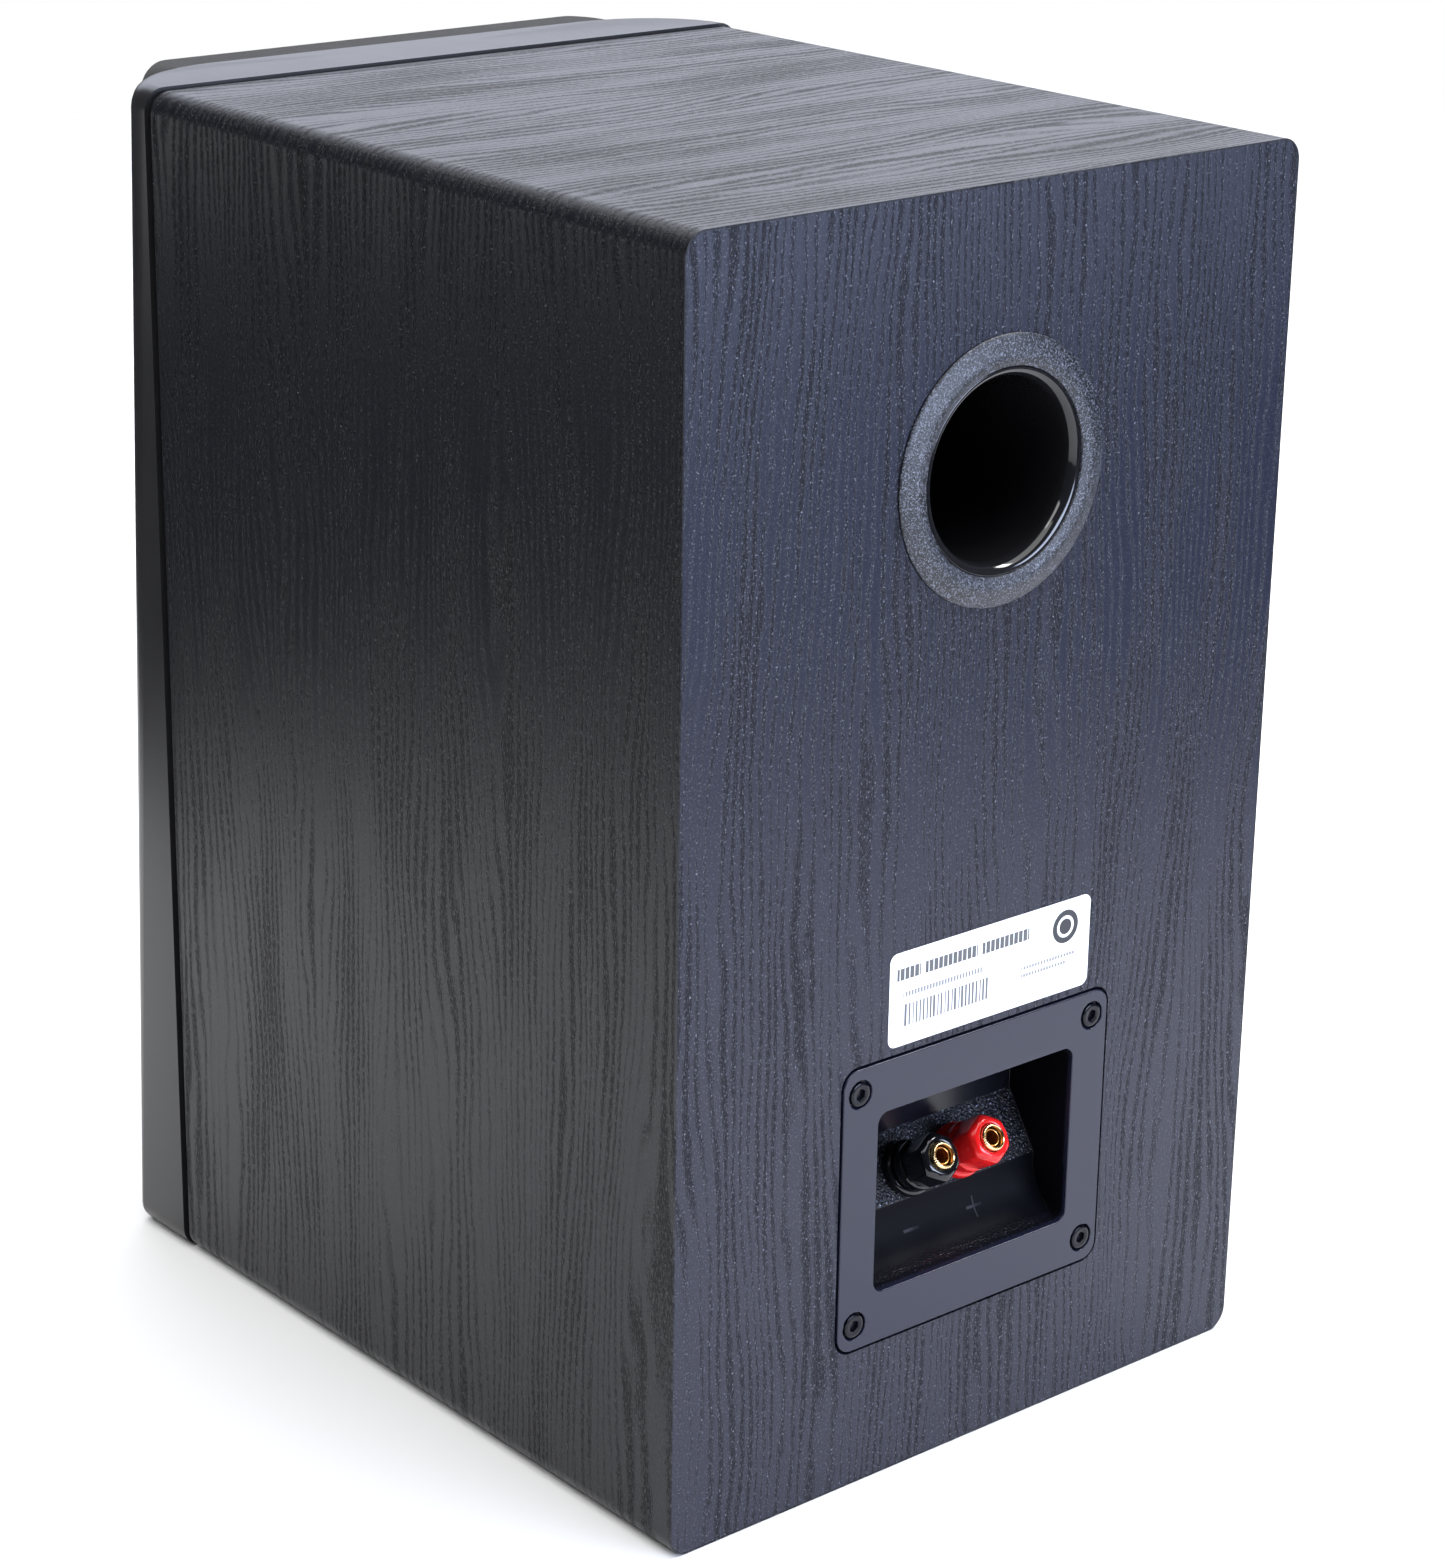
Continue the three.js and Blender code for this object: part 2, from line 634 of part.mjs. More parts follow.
function wooferSurround() {
  const middle = (surroundRollOuter + surroundRollInner) / 2;
  const roll = (surroundRollOuter - surroundRollInner) / 2;
  const sheet = 1;
  const back = pieceGap + sheet;
  const front = pieceGap;
  const outer = arcPoints(middle, front, roll, -roll, 0, Math.PI, 5);
  const inner = arcPoints(middle, back, roll - sheet, -(roll - sheet), Math.PI, 0, 5);
  const rimInner = surroundRollInner - 3;
  return onAxis([[surroundOuter, front], ...outer, [rimInner, front], [rimInner, back], ...inner,
    [surroundOuter, back]], wooferZ, medium);
}

function addWoofer() {
  add('woofer_basket', wooferBasket(), steelBlack);
  add('woofer_surround', wooferSurround(), rubberBlack);

  const coneEdge = surroundRollInner - pieceGap;
  const coneFront = 2 * pieceGap + 1;
  const coneEnd = coneFront + coneDepth;
  const coneInner = coilRadius + pieceGap;
  add('woofer_cone', onAxis([[coneEdge, coneFront], [coneEdge, coneFront + coneThickness],
    [coneInner + 1, coneEnd + coneThickness], [coneInner, coneEnd + coneThickness], [coneInner, coneEnd],
    [coneEdge - 2, coneFront]], wooferZ, medium), coneBlack);

  const coneRun = coneEdge - 2 - coneInner;
  const capFoot = coneFront + coneDepth * (coneEdge - 2 - dustCapRadius) / coneRun - 2 * pieceGap;
  const dome = arcPoints(0, capFoot, dustCapRadius, -dustCapRise, 0, Math.PI / 2, 5);
  const underDome = arcPoints(0, capFoot, dustCapRadius - 1, 1 - dustCapRise, Math.PI / 2, 0, 5);
  add('woofer_dust_cap', onAxis([...dome, ...underDome], wooferZ, medium), coneBlack);

  const coilFront = coneEnd - 3;
  const coilBack = basketDepth + wooferPlateThickness + 1;
  const windingLength = 9;
  const windingRadius = coilRadius + coilWinding;
  const formerInner = coilRadius - coilThickness;
  add('woofer_voice_coil', onAxis([[coilRadius, coilFront], [coilRadius, coilBack - windingLength],
    [windingRadius, coilBack - windingLength], [windingRadius, coilBack], [formerInner, coilBack],
    [formerInner, coilFront]], wooferZ, coarse), copper);

  const waveHeight = 1.2;
  const edgeDepth = spiderDepth + 1 - waveHeight; // of the spider's outer edge
  const throatDepth = basketDepth - 10;
  const wallSlope = (surroundRollOuter - pieceGap - basketThroat) / (throatDepth - wooferFlange - 7);
  const spiderOuter = basketThroat - basketWall + wallSlope * (throatDepth - edgeDepth) - 0.1;
  const spiderInner = coilRadius + pieceGap;
  const wave = (offset) => Array.from({ length: spiderWaves + 1 }, (_, i) => {
    const radius = spiderInner + (spiderOuter - spiderInner) * i / spiderWaves;
    return [radius, spiderDepth + offset + (i % 2 ? waveHeight : -waveHeight)];
  });
  add('woofer_spider', onAxis([...wave(0), ...wave(1).reverse()], wooferZ, coarse), amberCloth);

  const plateFront = basketDepth + pieceGap;
  const plateBack = plateFront + wooferPlateThickness;
  const gapRadius = windingRadius + 2 * pieceGap;
  add('woofer_top_plate', onAxis([[wooferPlateRadius, plateFront], [wooferPlateRadius, plateBack],
    [gapRadius, plateBack], [gapRadius, plateFront]], wooferZ, coarse), steelPlain);

  const magnetFront = plateBack + pieceGap;
  const magnetBack = magnetFront + wooferMagnetThickness;
  add('woofer_magnet', onAxis([[wooferMagnetRadius, magnetFront], [wooferMagnetRadius, magnetBack],
    [gapRadius + 5, magnetBack], [gapRadius + 5, magnetFront]], wooferZ, medium), ferrite);

  const backFront = magnetBack + pieceGap;
  const backEnd = backFront + wooferPlateThickness;
  const poleRadius = formerInner - 2 * pieceGap;
  add('woofer_back_plate', onAxis([[wooferPlateRadius, backFront], [wooferPlateRadius, backEnd],
    [poleVent, backEnd], [poleVent, plateFront], [poleRadius, plateFront], [poleRadius, backFront]],
  wooferZ, coarse), steelPlain);
}

// ---------------------------------------------------------------- tweeter

function addTweeter() {
  const collarBack = tweeterFlange + 2;
  const hornOuter = 34;
  const mouth = domeRadius + 3;
  const horn = arcPoints(hornOuter, 3.6, hornOuter - mouth, -3.6, Math.PI, Math.PI / 2, 6);
  add('tweeter_faceplate', onAxis([...horn, [tweeterRadius, 0], [tweeterRadius, tweeterFlange],
    [tweeterHoleRadius - pieceGap, tweeterFlange], [tweeterHoleRadius - pieceGap, collarBack],
    [mouth, collarBack]], tweeterZ, fine), mouldedBlack);

  const domeFoot = 5;
  const skin = 0.5;
  const domeEdge = mouth - pieceGap;
  const dome = arcPoints(0, domeFoot, domeRadius, -domeRise, 0, Math.PI / 2, 5);
  const under = arcPoints(0, domeFoot + skin, domeRadius - skin, -domeRise, Math.PI / 2, 0, 5);
  add('tweeter_dome', onAxis([[domeEdge, domeFoot + skin], [domeEdge, domeFoot], ...dome, ...under],
    tweeterZ, medium), clothBlack);

  const plateFront = collarBack + pieceGap;
  const plateBack = plateFront + tweeterPlateThickness;
  const gapRadius = domeRadius + 1;
  add('tweeter_top_plate', onAxis([[tweeterPlateRadius, plateFront], [tweeterPlateRadius, plateBack],
    [gapRadius, plateBack], [gapRadius, plateFront]], tweeterZ, coarse), steelPlain);

  const magnetFront = plateBack + pieceGap;
  const magnetBack = magnetFront + tweeterMagnetThickness;
  add('tweeter_magnet', onAxis([[tweeterPlateRadius, magnetFront], [tweeterPlateRadius, magnetBack],
    [gapRadius + 4, magnetBack], [gapRadius + 4, magnetFront]], tweeterZ, medium), ferrite);

  const backFront = magnetBack + pieceGap;
  const backEnd = backFront + tweeterPlateThickness;
  const poleRadius = domeRadius - 1;
  add('tweeter_back_plate', onAxis([[tweeterPlateRadius, backFront], [tweeterPlateRadius, backEnd],
    [0, backEnd], [0, plateFront + 1], [poleRadius, plateFront + 1], [poleRadius, backFront]],
  tweeterZ, coarse), steelPlain);

  const chamberFront = backEnd + pieceGap;
  const chamberEnd = chamberFront + tweeterChamberDepth;
  const chamberRadius = tweeterPlateRadius - 5;
  const hollowRadius = chamberRadius - tweeterChamberWall;
  const hollowEnd = chamberEnd - tweeterChamberWall;
  add('tweeter_rear_chamber', onAxis([[chamberRadius, chamberFront], [chamberRadius, chamberEnd],
    [0, chamberEnd], [0, hollowEnd], [hollowRadius, hollowEnd], [hollowRadius, chamberFront]],
  tweeterZ, coarse), mouldedBlack);
  return chamberEnd;
}

// ---------------------------------------------------------------- port

// y is measured outwards from the rear face.
const onPort = (outline) => turned(outline, fine).translate(0, rearY, portZ);

function addPort() {
  const hub = portRingInner + portWall;
  const innerRise = 1.6; // height of the ring's inner edge
  const rim = portFlangeRadius;
  const crest = rim - portBevelWidth;
  add('port_flange', onPort([[hub, -portRingDepth], [hub, pieceGap], [rim - 0.4, pieceGap], [rim, 0.6],
    [rim - 0.5, 1.1], [rim - portBevelWidth / 2, 1.9], [crest, portProud], [portRingInner, innerRise],
    [portRingInner, -portRingDepth]]), mouldedBlack);

  const lip = portRingInner - pieceGap;
  const outside = portBoreRadius + portWall;
  const lipRise = innerRise - pieceGap;
  const mouth = arcPoints(lip, -portFlareDepth, lip - portBoreRadius, portFlareDepth + lipRise,
    Math.PI, Math.PI / 2, 7);
  const innerEnd = -portLength;
  const flareStart = innerEnd + 12;
  const endOutside = outside + portEndFlare;
  add('port_tube', onPort([...mouth, [lip, -4], [outside, -portFlareDepth - 4],
    [outside, flareStart], [endOutside, innerEnd + 1], [endOutside, innerEnd],
    [portBoreRadius + portEndFlare, innerEnd], [portBoreRadius, flareStart]]), blackPlastic);
}

// ---------------------------------------------------------------- terminal cup

function screwPlaces() {
  const [halfX, halfZ] = [screwSpacingX / 2, screwSpacingZ / 2];
  return [[halfX, halfZ], [-halfX, halfZ], [-halfX, -halfZ], [halfX, -halfZ]]
    .map(([x, z]) => [x, terminalZ + z]);
}

// The pocket's side view, grown outwards by an offset: back wall, tilted ledge, concave panel.
function pocketSection(offset) {
  const frontY = rearY + plateProud + 1;
  const topZ = terminalZ + pocketHeight / 2 + offset;
  const bottomZ = terminalZ - pocketHeight / 2 - offset;
  const backY = rearY - pocketDepth - offset;
  const lowerY = rearY - pocketLowerDepth - offset;
  const footY = rearY - ledgeBehindFace - offset * Math.cos(postTilt);
  const footZ = ledgeZ - offset * Math.sin(postTilt);
  const ledgeAt = (y) => footZ - (y - footY) / Math.tan(postTilt);
  const curveTopZ = ledgeAt(lowerY) - 2;
  const shape = new THREE.Shape()
    .moveTo(frontY, topZ)
    .lineTo(backY, topZ)
    .lineTo(backY, ledgeAt(backY))
    .lineTo(lowerY, ledgeAt(lowerY))
    .lineTo(lowerY, curveTopZ)
    .absellipse(rearY, curveTopZ, rearY - lowerY, curveTopZ - bottomZ, Math.PI, 1.5 * Math.PI, false)
    .lineTo(frontY, bottomZ);
  return shape;
}

function postPlace(side) {
  return new THREE.Vector3(side * postSpacing / 2, rearY - ledgeBehindFace, ledgeZ);
}

// Stands a piece made along +Y on the ledge, along a post's tilted axis.
function onPost(geometry, side) {
  return geometry.rotateX(postTilt).translate(...postPlace(side));
}

function addTerminalCup() {
  const plateBackY = rearY + plateProud - plateThickness;
  const plateFrontY = rearY + plateProud;
  const beyond = 1;
  const plate = alongY(
    roundedRectangle(0, terminalZ, plateWidth, plateHeight, plateCornerRadius), plateBackY, plateFrontY);
  const shellWidth = pocketWidth + 2 * pocketWall;
  const shell = cut(
    acrossX(pocketSection(pocketWall), shellWidth, 10),
    box(-shellWidth, shellWidth, plateBackY + beyond, plateFrontY + 2 * beyond, 0, 2 * terminalZ),
  );
  const mouth = alongY(
    roundedRectangle(0, terminalZ, pocketWidth, pocketHeight, pocketCornerRadius),
    rearY - pocketDepth - beyond, plateFrontY + beyond, 5);
  const hollow = common(acrossX(pocketSection(0), pocketWidth + beyond, 10), mouth);
  const screwHoles = screwPlaces().flatMap(([x, z]) => [
    rodAlongY(x, z, screwRadius + pieceGap, plateBackY - beyond, plateFrontY + beyond),
    rodAlongY(x, z, counterboreRadius, plateFrontY - counterboreDepth, plateFrontY + beyond),
  ]);
  const studHoles = [1, -1].map((side) => onPost(rodAlongY(0, 0, studRadius + pieceGap, -6, 6), side));
  add('terminal_cup', cut(join(plate, shell), hollow, ...screwHoles, ...studHoles), plateBlack);

  const gasketBackY = plateBackY - pieceGap - gasketThickness;
  const rim = 2; // inside the plate's edge
  const [gasketWidth, gasketHeight] = [plateWidth - 2 * rim, plateHeight - 2 * rim];
  const around = 2 * pocketWall + 1;
  const gasket = cut(
    alongY(roundedRectangle(0, terminalZ, gasketWidth, gasketHeight, plateCornerRadius),
      gasketBackY, plateBackY - pieceGap),
    alongY(roundedRectangle(0, terminalZ, pocketWidth + around, pocketHeight + around, pieceGap),
      gasketBackY - beyond, plateBackY),
    ...screwPlaces().map(([x, z]) =>
      rodAlongY(x, z, screwRadius + pieceGap, gasketBackY - beyond, plateBackY)),
  );
  add('terminal_gasket', gasket, rubberBlack);

  screwPlaces().forEach(([x, z], i) => {
    const headBackY = plateFrontY - counterboreDepth + pieceGap;
    const headFrontY = headBackY + screwHeadHeight;
    const chamfer = 0.4;
    const head = turned([[0, headBackY - screwLength], [screwRadius, headBackY - screwLength],
      [screwRadius, headBackY], [screwHeadRadius, headBackY], [screwHeadRadius, headFrontY - chamfer],
      [screwHeadRadius - chamfer, headFrontY], [0, headFrontY]], coarse);
    const socketFloor = headFrontY - screwHeadHeight * 0.7;
    const socket = rodAlongY(0, 0, screwSocketRadius, socketFloor, headFrontY + beyond, 6);
    add(`terminal_screw_${i + 1}`, cut(head, socket).translate(x, 0, z), steelBlack);
  });
}

// ---------------------------------------------------------------- binding posts

// The cap: a round foot, a hexagonal grip with softened corners and a rounded nose.
function postCap(foot) {
  const bore = sleeveRadius + pieceGap;
  const nose = capReach - 1.8;
  const gripTop = capAcrossFlats / 2 + 0.75;
  const round = turned([[bore, foot], [capCollarRadius, foot], [capCollarRadius, foot + capCollarHeight],
    [gripTop, foot + capCollarHeight + 0.8], [gripTop, nose],
    ...arcPoints(gripTop - 1.5, nose, 1.5, 1.8, 0, Math.PI / 2, 3), [bore, capReach]], 30);
  const flats = [0, 1, 2, 3, 4, 5].map((side) => {
    const away = capAcrossFlats / 2;
    const slab = box(away, away + 3, foot + capCollarHeight, capReach + 1, -gripTop, gripTop);
    return slab.rotateY(side * Math.PI / 3 + Math.PI / 6);
  });
  return cut(round, ...flats);
}

function addPost(colourName, side, plastic) {
  const clear = studRadius + pieceGap;
  const collarFront = pieceGap + collarHeight;
  const washerBack = collarFront + pieceGap;
  const washerFront = washerBack + washerThickness;
  const foot = washerFront + pieceGap;
  const piece = (part, geometry, look) => add(`${colourName}_post_${part}`, onPost(geometry, side), look);

  piece('collar', turned([[clear, pieceGap], [collarRadius, pieceGap], [collarRadius, collarFront - 1],
    [collarRadius - 1, collarFront], [clear, collarFront]], medium), plastic);

  piece('washer', turned([[clear, washerBack], [washerRadius, washerBack], [washerRadius, washerFront],
    [clear, washerFront]], medium), gilt);

  piece('cap', postCap(foot), plastic);

  const chamfer = 0.7;
  piece('sleeve', turned([[clear, foot + 0.5], [sleeveRadius, foot + 0.5], [sleeveRadius, capReach - 0.1],
    [sleeveRadius - 0.4, capReach + 0.2], [clear + chamfer, capReach + 0.2], [clear, capReach - chamfer]],
  medium), gilt);

  const bottom = studReach - bananaDepth;
  piece('stud', turned([[0, -studInside], [studRadius, -studInside], [studRadius, studReach],
    [bananaRadius, studReach], [bananaRadius, bottom], [0, bottom - 1]], coarse), gilt);

  const nutFront = -(pocketWall + pieceGap);
  const nut = rodAlongY(0, 0, nutRadius, nutFront - nutHeight, nutFront, 6);
  piece('nut', cut(nut, rodAlongY(0, 0, clear, nutFront - nutHeight - 1, nutFront + 1)), steelPlain);
}

// ---------------------------------------------------------------- crossover and leads

function addCrossover() {
  const boardLowZ = boardThickness + pieceGap;
  const boardTopZ = boardLowZ + circuitThickness;
  const seatZ = boardTopZ + pieceGap;
  const nearY = boardNearY;
  const farY = nearY + boardLength;
  const halfWidth = boardWidth / 2;
  add('crossover_board', box(-halfWidth, halfWidth, nearY, farY, boardLowZ, boardTopZ), circuitGreen);

  const coil = (inner, outer, height) =>
    turned([[inner, 0], [outer, 0], [outer, height], [inner, height]], coarse).rotateX(Math.PI / 2);
  add('woofer_inductor', coil(8, 21, 20).translate(-22, nearY + 25, seatZ), copper);
  add('tweeter_inductor', coil(6, 14, 13).translate(26, nearY + 18, seatZ), copper);

  const barrel = (radius, length) => new THREE.CylinderGeometry(radius, radius, length, coarse);
  add('capacitor', barrel(11, 38).translate(24, nearY + 56, seatZ + 11), capacitorFilm);
  add('resistor', box(-38, -29, nearY + 50, nearY + 86, seatZ, seatZ + 9), cement);
  return { seatZ, nearY };
}

// A round lead along a smooth curve through its points.
function lead(points, steps) {
  const path = new THREE.CatmullRomCurve3(points.map((p) => new THREE.Vector3(...p)));
  const section = new THREE.Shape().absarc(0, 0, leadRadius, 0, 2 * Math.PI);
  const sweep = { extrudePath: path, steps, curveSegments: 4, bevelEnabled: false };
  return new THREE.ExtrudeGeometry(section, sweep);
}

function addLeads(board, chamberEnd) {
  const landZ = board.seatZ + leadRadius;
  const inward = (side, distance) => postPlace(side).addScaledVector(postAxis, -distance).toArray();
  const inputLead = (side) => lead([inward(side, studInside + pieceGap), inward(side, studInside + 7),
    [side * 13, board.nearY + 87, landZ + 22], [side * 12, board.nearY + 84, landZ]], 14);
  add('input_lead_black', inputLead(1), rubberBlack);
  add('input_lead_red', inputLead(-1), redPlastic);

  const basketY = fasciaFrontY + basketDepth - 5;
  const besideBasket = -(basketThroat + leadRadius + pieceGap);
  add('woofer_lead', lead([[-44, board.nearY + 12, landZ], [-50, board.nearY + 4, landZ + 12],
    [-58, board.nearY - 25, landZ + 44], [besideBasket - 3, basketY + 8, wooferZ - 22],
    [besideBasket, basketY, wooferZ]], 20), rubberBlack);

  const chamberY = fasciaFrontY + chamberEnd + pieceGap;
  add('tweeter_lead', lead([[43, board.nearY + 10, landZ], [50, board.nearY + 2, landZ + 16],
    [62, board.nearY - 16, wooferZ - 30], [63, board.nearY - 28, wooferZ + 40],
    [52, board.nearY - 34, braceZ], [28, chamberY + 30, tweeterZ - 10], [0, chamberY + 14, tweeterZ],
    [0, chamberY, tweeterZ]], 30), rubberBlack);
}

// ---------------------------------------------------------------- assembly

addWalls();
addRearPanel();
addBaffle();
addBrace();
addDampingPads();
addFascia();
addGrille();
addWoofer();
const chamberEnd = addTweeter();
addPort();
addTerminalCup();
addPost('black', 1, blackPlastic);
addPost('red', -1, redPlastic);
addLeads(addCrossover(), chamberEnd);

export default speaker;
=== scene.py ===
# %% [markdown]
# A two-way bookshelf speaker, seen from behind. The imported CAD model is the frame: it gives every board,
# driver and screw its place, in metres, with +Z up, the grille towards -Y and the terminals towards +Y.
# This script gives those parts their finishes and adds the finer pieces that a CAD solid only stands for.

# %% Load the frame
import math
import bmesh
import bpy
from mathutils import Matrix, Vector, noise


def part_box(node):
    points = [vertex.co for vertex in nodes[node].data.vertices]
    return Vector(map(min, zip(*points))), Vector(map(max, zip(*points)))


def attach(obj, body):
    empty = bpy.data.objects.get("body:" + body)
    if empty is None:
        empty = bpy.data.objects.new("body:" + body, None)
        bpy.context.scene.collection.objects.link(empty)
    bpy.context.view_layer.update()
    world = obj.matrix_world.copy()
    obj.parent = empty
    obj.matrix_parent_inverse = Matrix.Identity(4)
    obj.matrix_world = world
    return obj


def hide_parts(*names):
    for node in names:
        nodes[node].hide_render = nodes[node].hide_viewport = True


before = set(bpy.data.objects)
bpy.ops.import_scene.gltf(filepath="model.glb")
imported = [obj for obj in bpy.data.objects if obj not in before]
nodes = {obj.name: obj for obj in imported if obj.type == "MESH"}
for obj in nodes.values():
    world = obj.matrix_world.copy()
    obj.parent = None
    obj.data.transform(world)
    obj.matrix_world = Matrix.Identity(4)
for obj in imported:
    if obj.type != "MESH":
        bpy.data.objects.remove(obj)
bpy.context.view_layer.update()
scene = bpy.context.scene

# %% [markdown]
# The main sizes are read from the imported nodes, so that each finer piece lands where its solid is. Only
# sizes that the solids don't hold, such as the depth of a groove, are written as numbers, and MM turns
# millimetres into Blender's metres.

# %% Main places
MM = 0.001

rear_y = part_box("rear_panel")[1].y
cabinet_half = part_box("right_side_panel")[1].x
cabinet_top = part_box("top_panel")[1].z
port_low, port_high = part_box("port_flange")
plate_low, plate_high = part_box("terminal_cup")
port_z = (port_low.z + port_high.z) / 2
plate_z = (plate_low.z + plate_high.z) / 2
print("rear face at", round(rear_y, 5), "half width", round(cabinet_half, 4), "top", round(cabinet_top, 4))

# %% [markdown]
# The camera stands behind the speaker and to its right, a little above it. Its place and lens come from
# fitting a real camera to the cabinet's straight edges. The three axes are built from azimuth, elevation
# and a slight roll.

# %% Camera
AZIMUTH, ELEVATION, ROLL = (math.radians(angle) for angle in (139.557, 19.773, 0.91))
CAMERA_RIGHT, CAMERA_HEIGHT = 0.68422, 0.54475
CAMERA_BEHIND = 0.69326  # from the rear face
LENS, SENSOR = 89.14, 36  # both in millimetres
flat = math.cos(ELEVATION)
back = Vector((math.sin(AZIMUTH) * flat, -math.cos(AZIMUTH) * flat, math.sin(ELEVATION)))
level = Vector((math.cos(AZIMUTH), math.sin(AZIMUTH), 0))
upright = back.cross(level)
right = level * math.cos(ROLL) + upright * math.sin(ROLL)
up = back.cross(right)
camera = bpy.data.objects.new("camera", bpy.data.cameras.new("camera"))
camera.matrix_world = Matrix((right, up, back)).transposed().to_4x4()
camera.location = (CAMERA_RIGHT, CAMERA_BEHIND + rear_y, CAMERA_HEIGHT)
camera.data.sensor_width = SENSOR
camera.data.lens = LENS
camera.data.clip_start, camera.data.clip_end = 0.05, 60
scene.collection.objects.link(camera)
scene.camera = camera
scene.view_settings.view_transform = "Standard"
print("camera at", [round(v, 3) for v in camera.location])

# %% [markdown]
# The speaker stands on a plain white sweep. Black vinyl shows mostly what it mirrors, so the light is
# planned as mirrored shapes: a broad panel behind lights the top, a large soft light faces the rear, a
# low strip rakes the side, and two low dark cards keep the side and the rear deep. Lamps and cards are
# hidden from the camera, as studio gear would be.

# %% Floor and studio light
def mesh_object(name, points, faces):
    mesh = bpy.data.meshes.new(name)
    mesh.from_pydata([tuple(p) for p in points], [], faces)
    mesh.update()
    made = bpy.data.objects.new(name, mesh)
    scene.collection.objects.link(made)
    return made


def soft_light(name, place, aim, size, power, tint=(1, 1, 1)):
    lamp = bpy.data.lights.new(name, "AREA")
    lamp.shape, lamp.size, lamp.size_y = "RECTANGLE", size[0], size[1]
    lamp.energy, lamp.color = power, tint
    made = bpy.data.objects.new(name, lamp)
    made.location = place
    made.rotation_mode = "QUATERNION"
    made.rotation_quaternion = (Vector(aim) - Vector(place)).to_track_quat("-Z", "Y")
    made.visible_camera = False
    scene.collection.objects.link(made)
    return made


FLOOR_DROP = 0.2 * MM
FLOOR_REACH = 1.8
CARD_REACH, CARD_TURN = 0.8, math.radians(40)
CARDS = {"side_card": ((0.44, -0.34, 0), 0.25), "rear_card": ((-0.36, 0.50, 0), 0.22)}  # place and height

floor = mesh_object(
    "floor",
    [(x, y, -FLOOR_DROP) for x, y in ((-1, -1), (1, -1), (1, 1), (-1, 1))],
    [(0, 1, 2, 3)],
)
floor.scale = (FLOOR_REACH, FLOOR_REACH, 1)

card_black = bpy.data.materials.new("card_black")
card_black.use_nodes = True
card_sockets = card_black.node_tree.nodes["Principled BSDF"].inputs
card_sockets["Base Color"].default_value = (0, 0, 0, 1)
card_sockets["Roughness"].default_value = 1
for name, (place, tall) in CARDS.items():
    corners = [(-CARD_REACH, 0, 0), (CARD_REACH, 0, 0), (CARD_REACH, 0, tall), (-CARD_REACH, 0, tall)]
    card = mesh_object(name, corners, [(0, 1, 2, 3)])
    card.location = place
    card.rotation_euler = (0, 0, CARD_TURN)
    card.visible_camera = card.visible_diffuse = card.visible_shadow = False
    card.data.materials.append(card_black)

soft_light("panel_behind", (-1.9, -2.3, 1.45), (0, 0, 0.3), (3.4, 1.9), 37, (0.83, 0.87, 1))
soft_light("overhead", (-0.2, -0.1, 2.4), (-0.1, -0.1, 0), (3.6, 3.2), 117)
soft_light("edge_strip", (-1.15, 0.4, 1.6), (0, 0.1, 0.25), (1.1, 0.3), 26)
soft_light("rear_key", (-0.55, 1.95, 0.5), (0, 0.1, 0.2), (1.3, 0.9), 59, (0.66, 0.76, 1))
soft_light("floor_fill", (1.5, 0.2, 1.9), (0.5, -0.1, 0), (1.2, 1.2), 27)
soft_light("side_strip", (1.25, -1.3, 0.2), (0.1, 0, 0.3), (0.9, 0.2), 1.0)

world = bpy.data.worlds.new("studio")
world.use_nodes = True
sky = world.node_tree
room = sky.nodes["Background"]
room.inputs["Color"].default_value = (0.9, 0.95, 1, 1)
room.inputs["Strength"].default_value = 0.05
sweep = sky.nodes.new("ShaderNodeBackground")
sweep.inputs["Color"].default_value = (1, 1, 1, 1)
blend = sky.nodes.new("ShaderNodeMixShader")
seen = sky.nodes.new("ShaderNodeLightPath")
sky.links.new(seen.outputs["Is Camera Ray"], blend.inputs[0])
sky.links.new(room.outputs[0], blend.inputs[1])
sky.links.new(sweep.outputs[0], blend.inputs[2])
sky.links.new(blend.outputs[0], sky.nodes["World Output"].inputs["Surface"])
scene.world = world

# %% [markdown]
# A material in Blender is a graph of nodes. Written out link by link it hides its idea, so a small class
# wraps one socket and gives it Python's operators: `1 - mask` then adds a Math node. Every other node
# comes from one method, which takes the node's type, its settings and what goes into its sockets.

# %% Shader maths
class Value:
    """One output socket, with the operators that this script uses."""

    def __init__(self, shade, socket):
        self.shade, self.socket = shade, socket

    def maths(self, operation, *others):
        inputs = dict(enumerate((self, *others)))
        return self.shade.node("Math", {"operation": operation}, inputs)

    def __add__(self, other):
        return self.maths("ADD", other)

    def __mul__(self, other):
        return self.maths("MULTIPLY", other)

    def __sub__(self, other):
        return self.maths("SUBTRACT", other)

    def __rsub__(self, other):
        return self.shade.node("Math", {"operation": "SUBTRACT"}, {0: other, 1: self})

    def __truediv__(self, other):
        return self.maths("DIVIDE", other)

    def __abs__(self):
        return self.maths("ABSOLUTE")

    __radd__ = __add__
    __rmul__ = __mul__

    def sine(self):
        return self.maths("SINE")

    def floor(self):
        return self.maths("FLOOR")

    def least(self, other):
        return self.maths("MINIMUM", other)

    def above(self, other):
        return self.maths("GREATER_THAN", other)

    def step(self, low, high):
        """0 below low, 1 above high, and smooth between."""
        settings = {"interpolation_type": "SMOOTHSTEP", "clamp": True}
        return self.shade.node("MapRange", settings, {"Value": self, "From Min": low, "From Max": high})


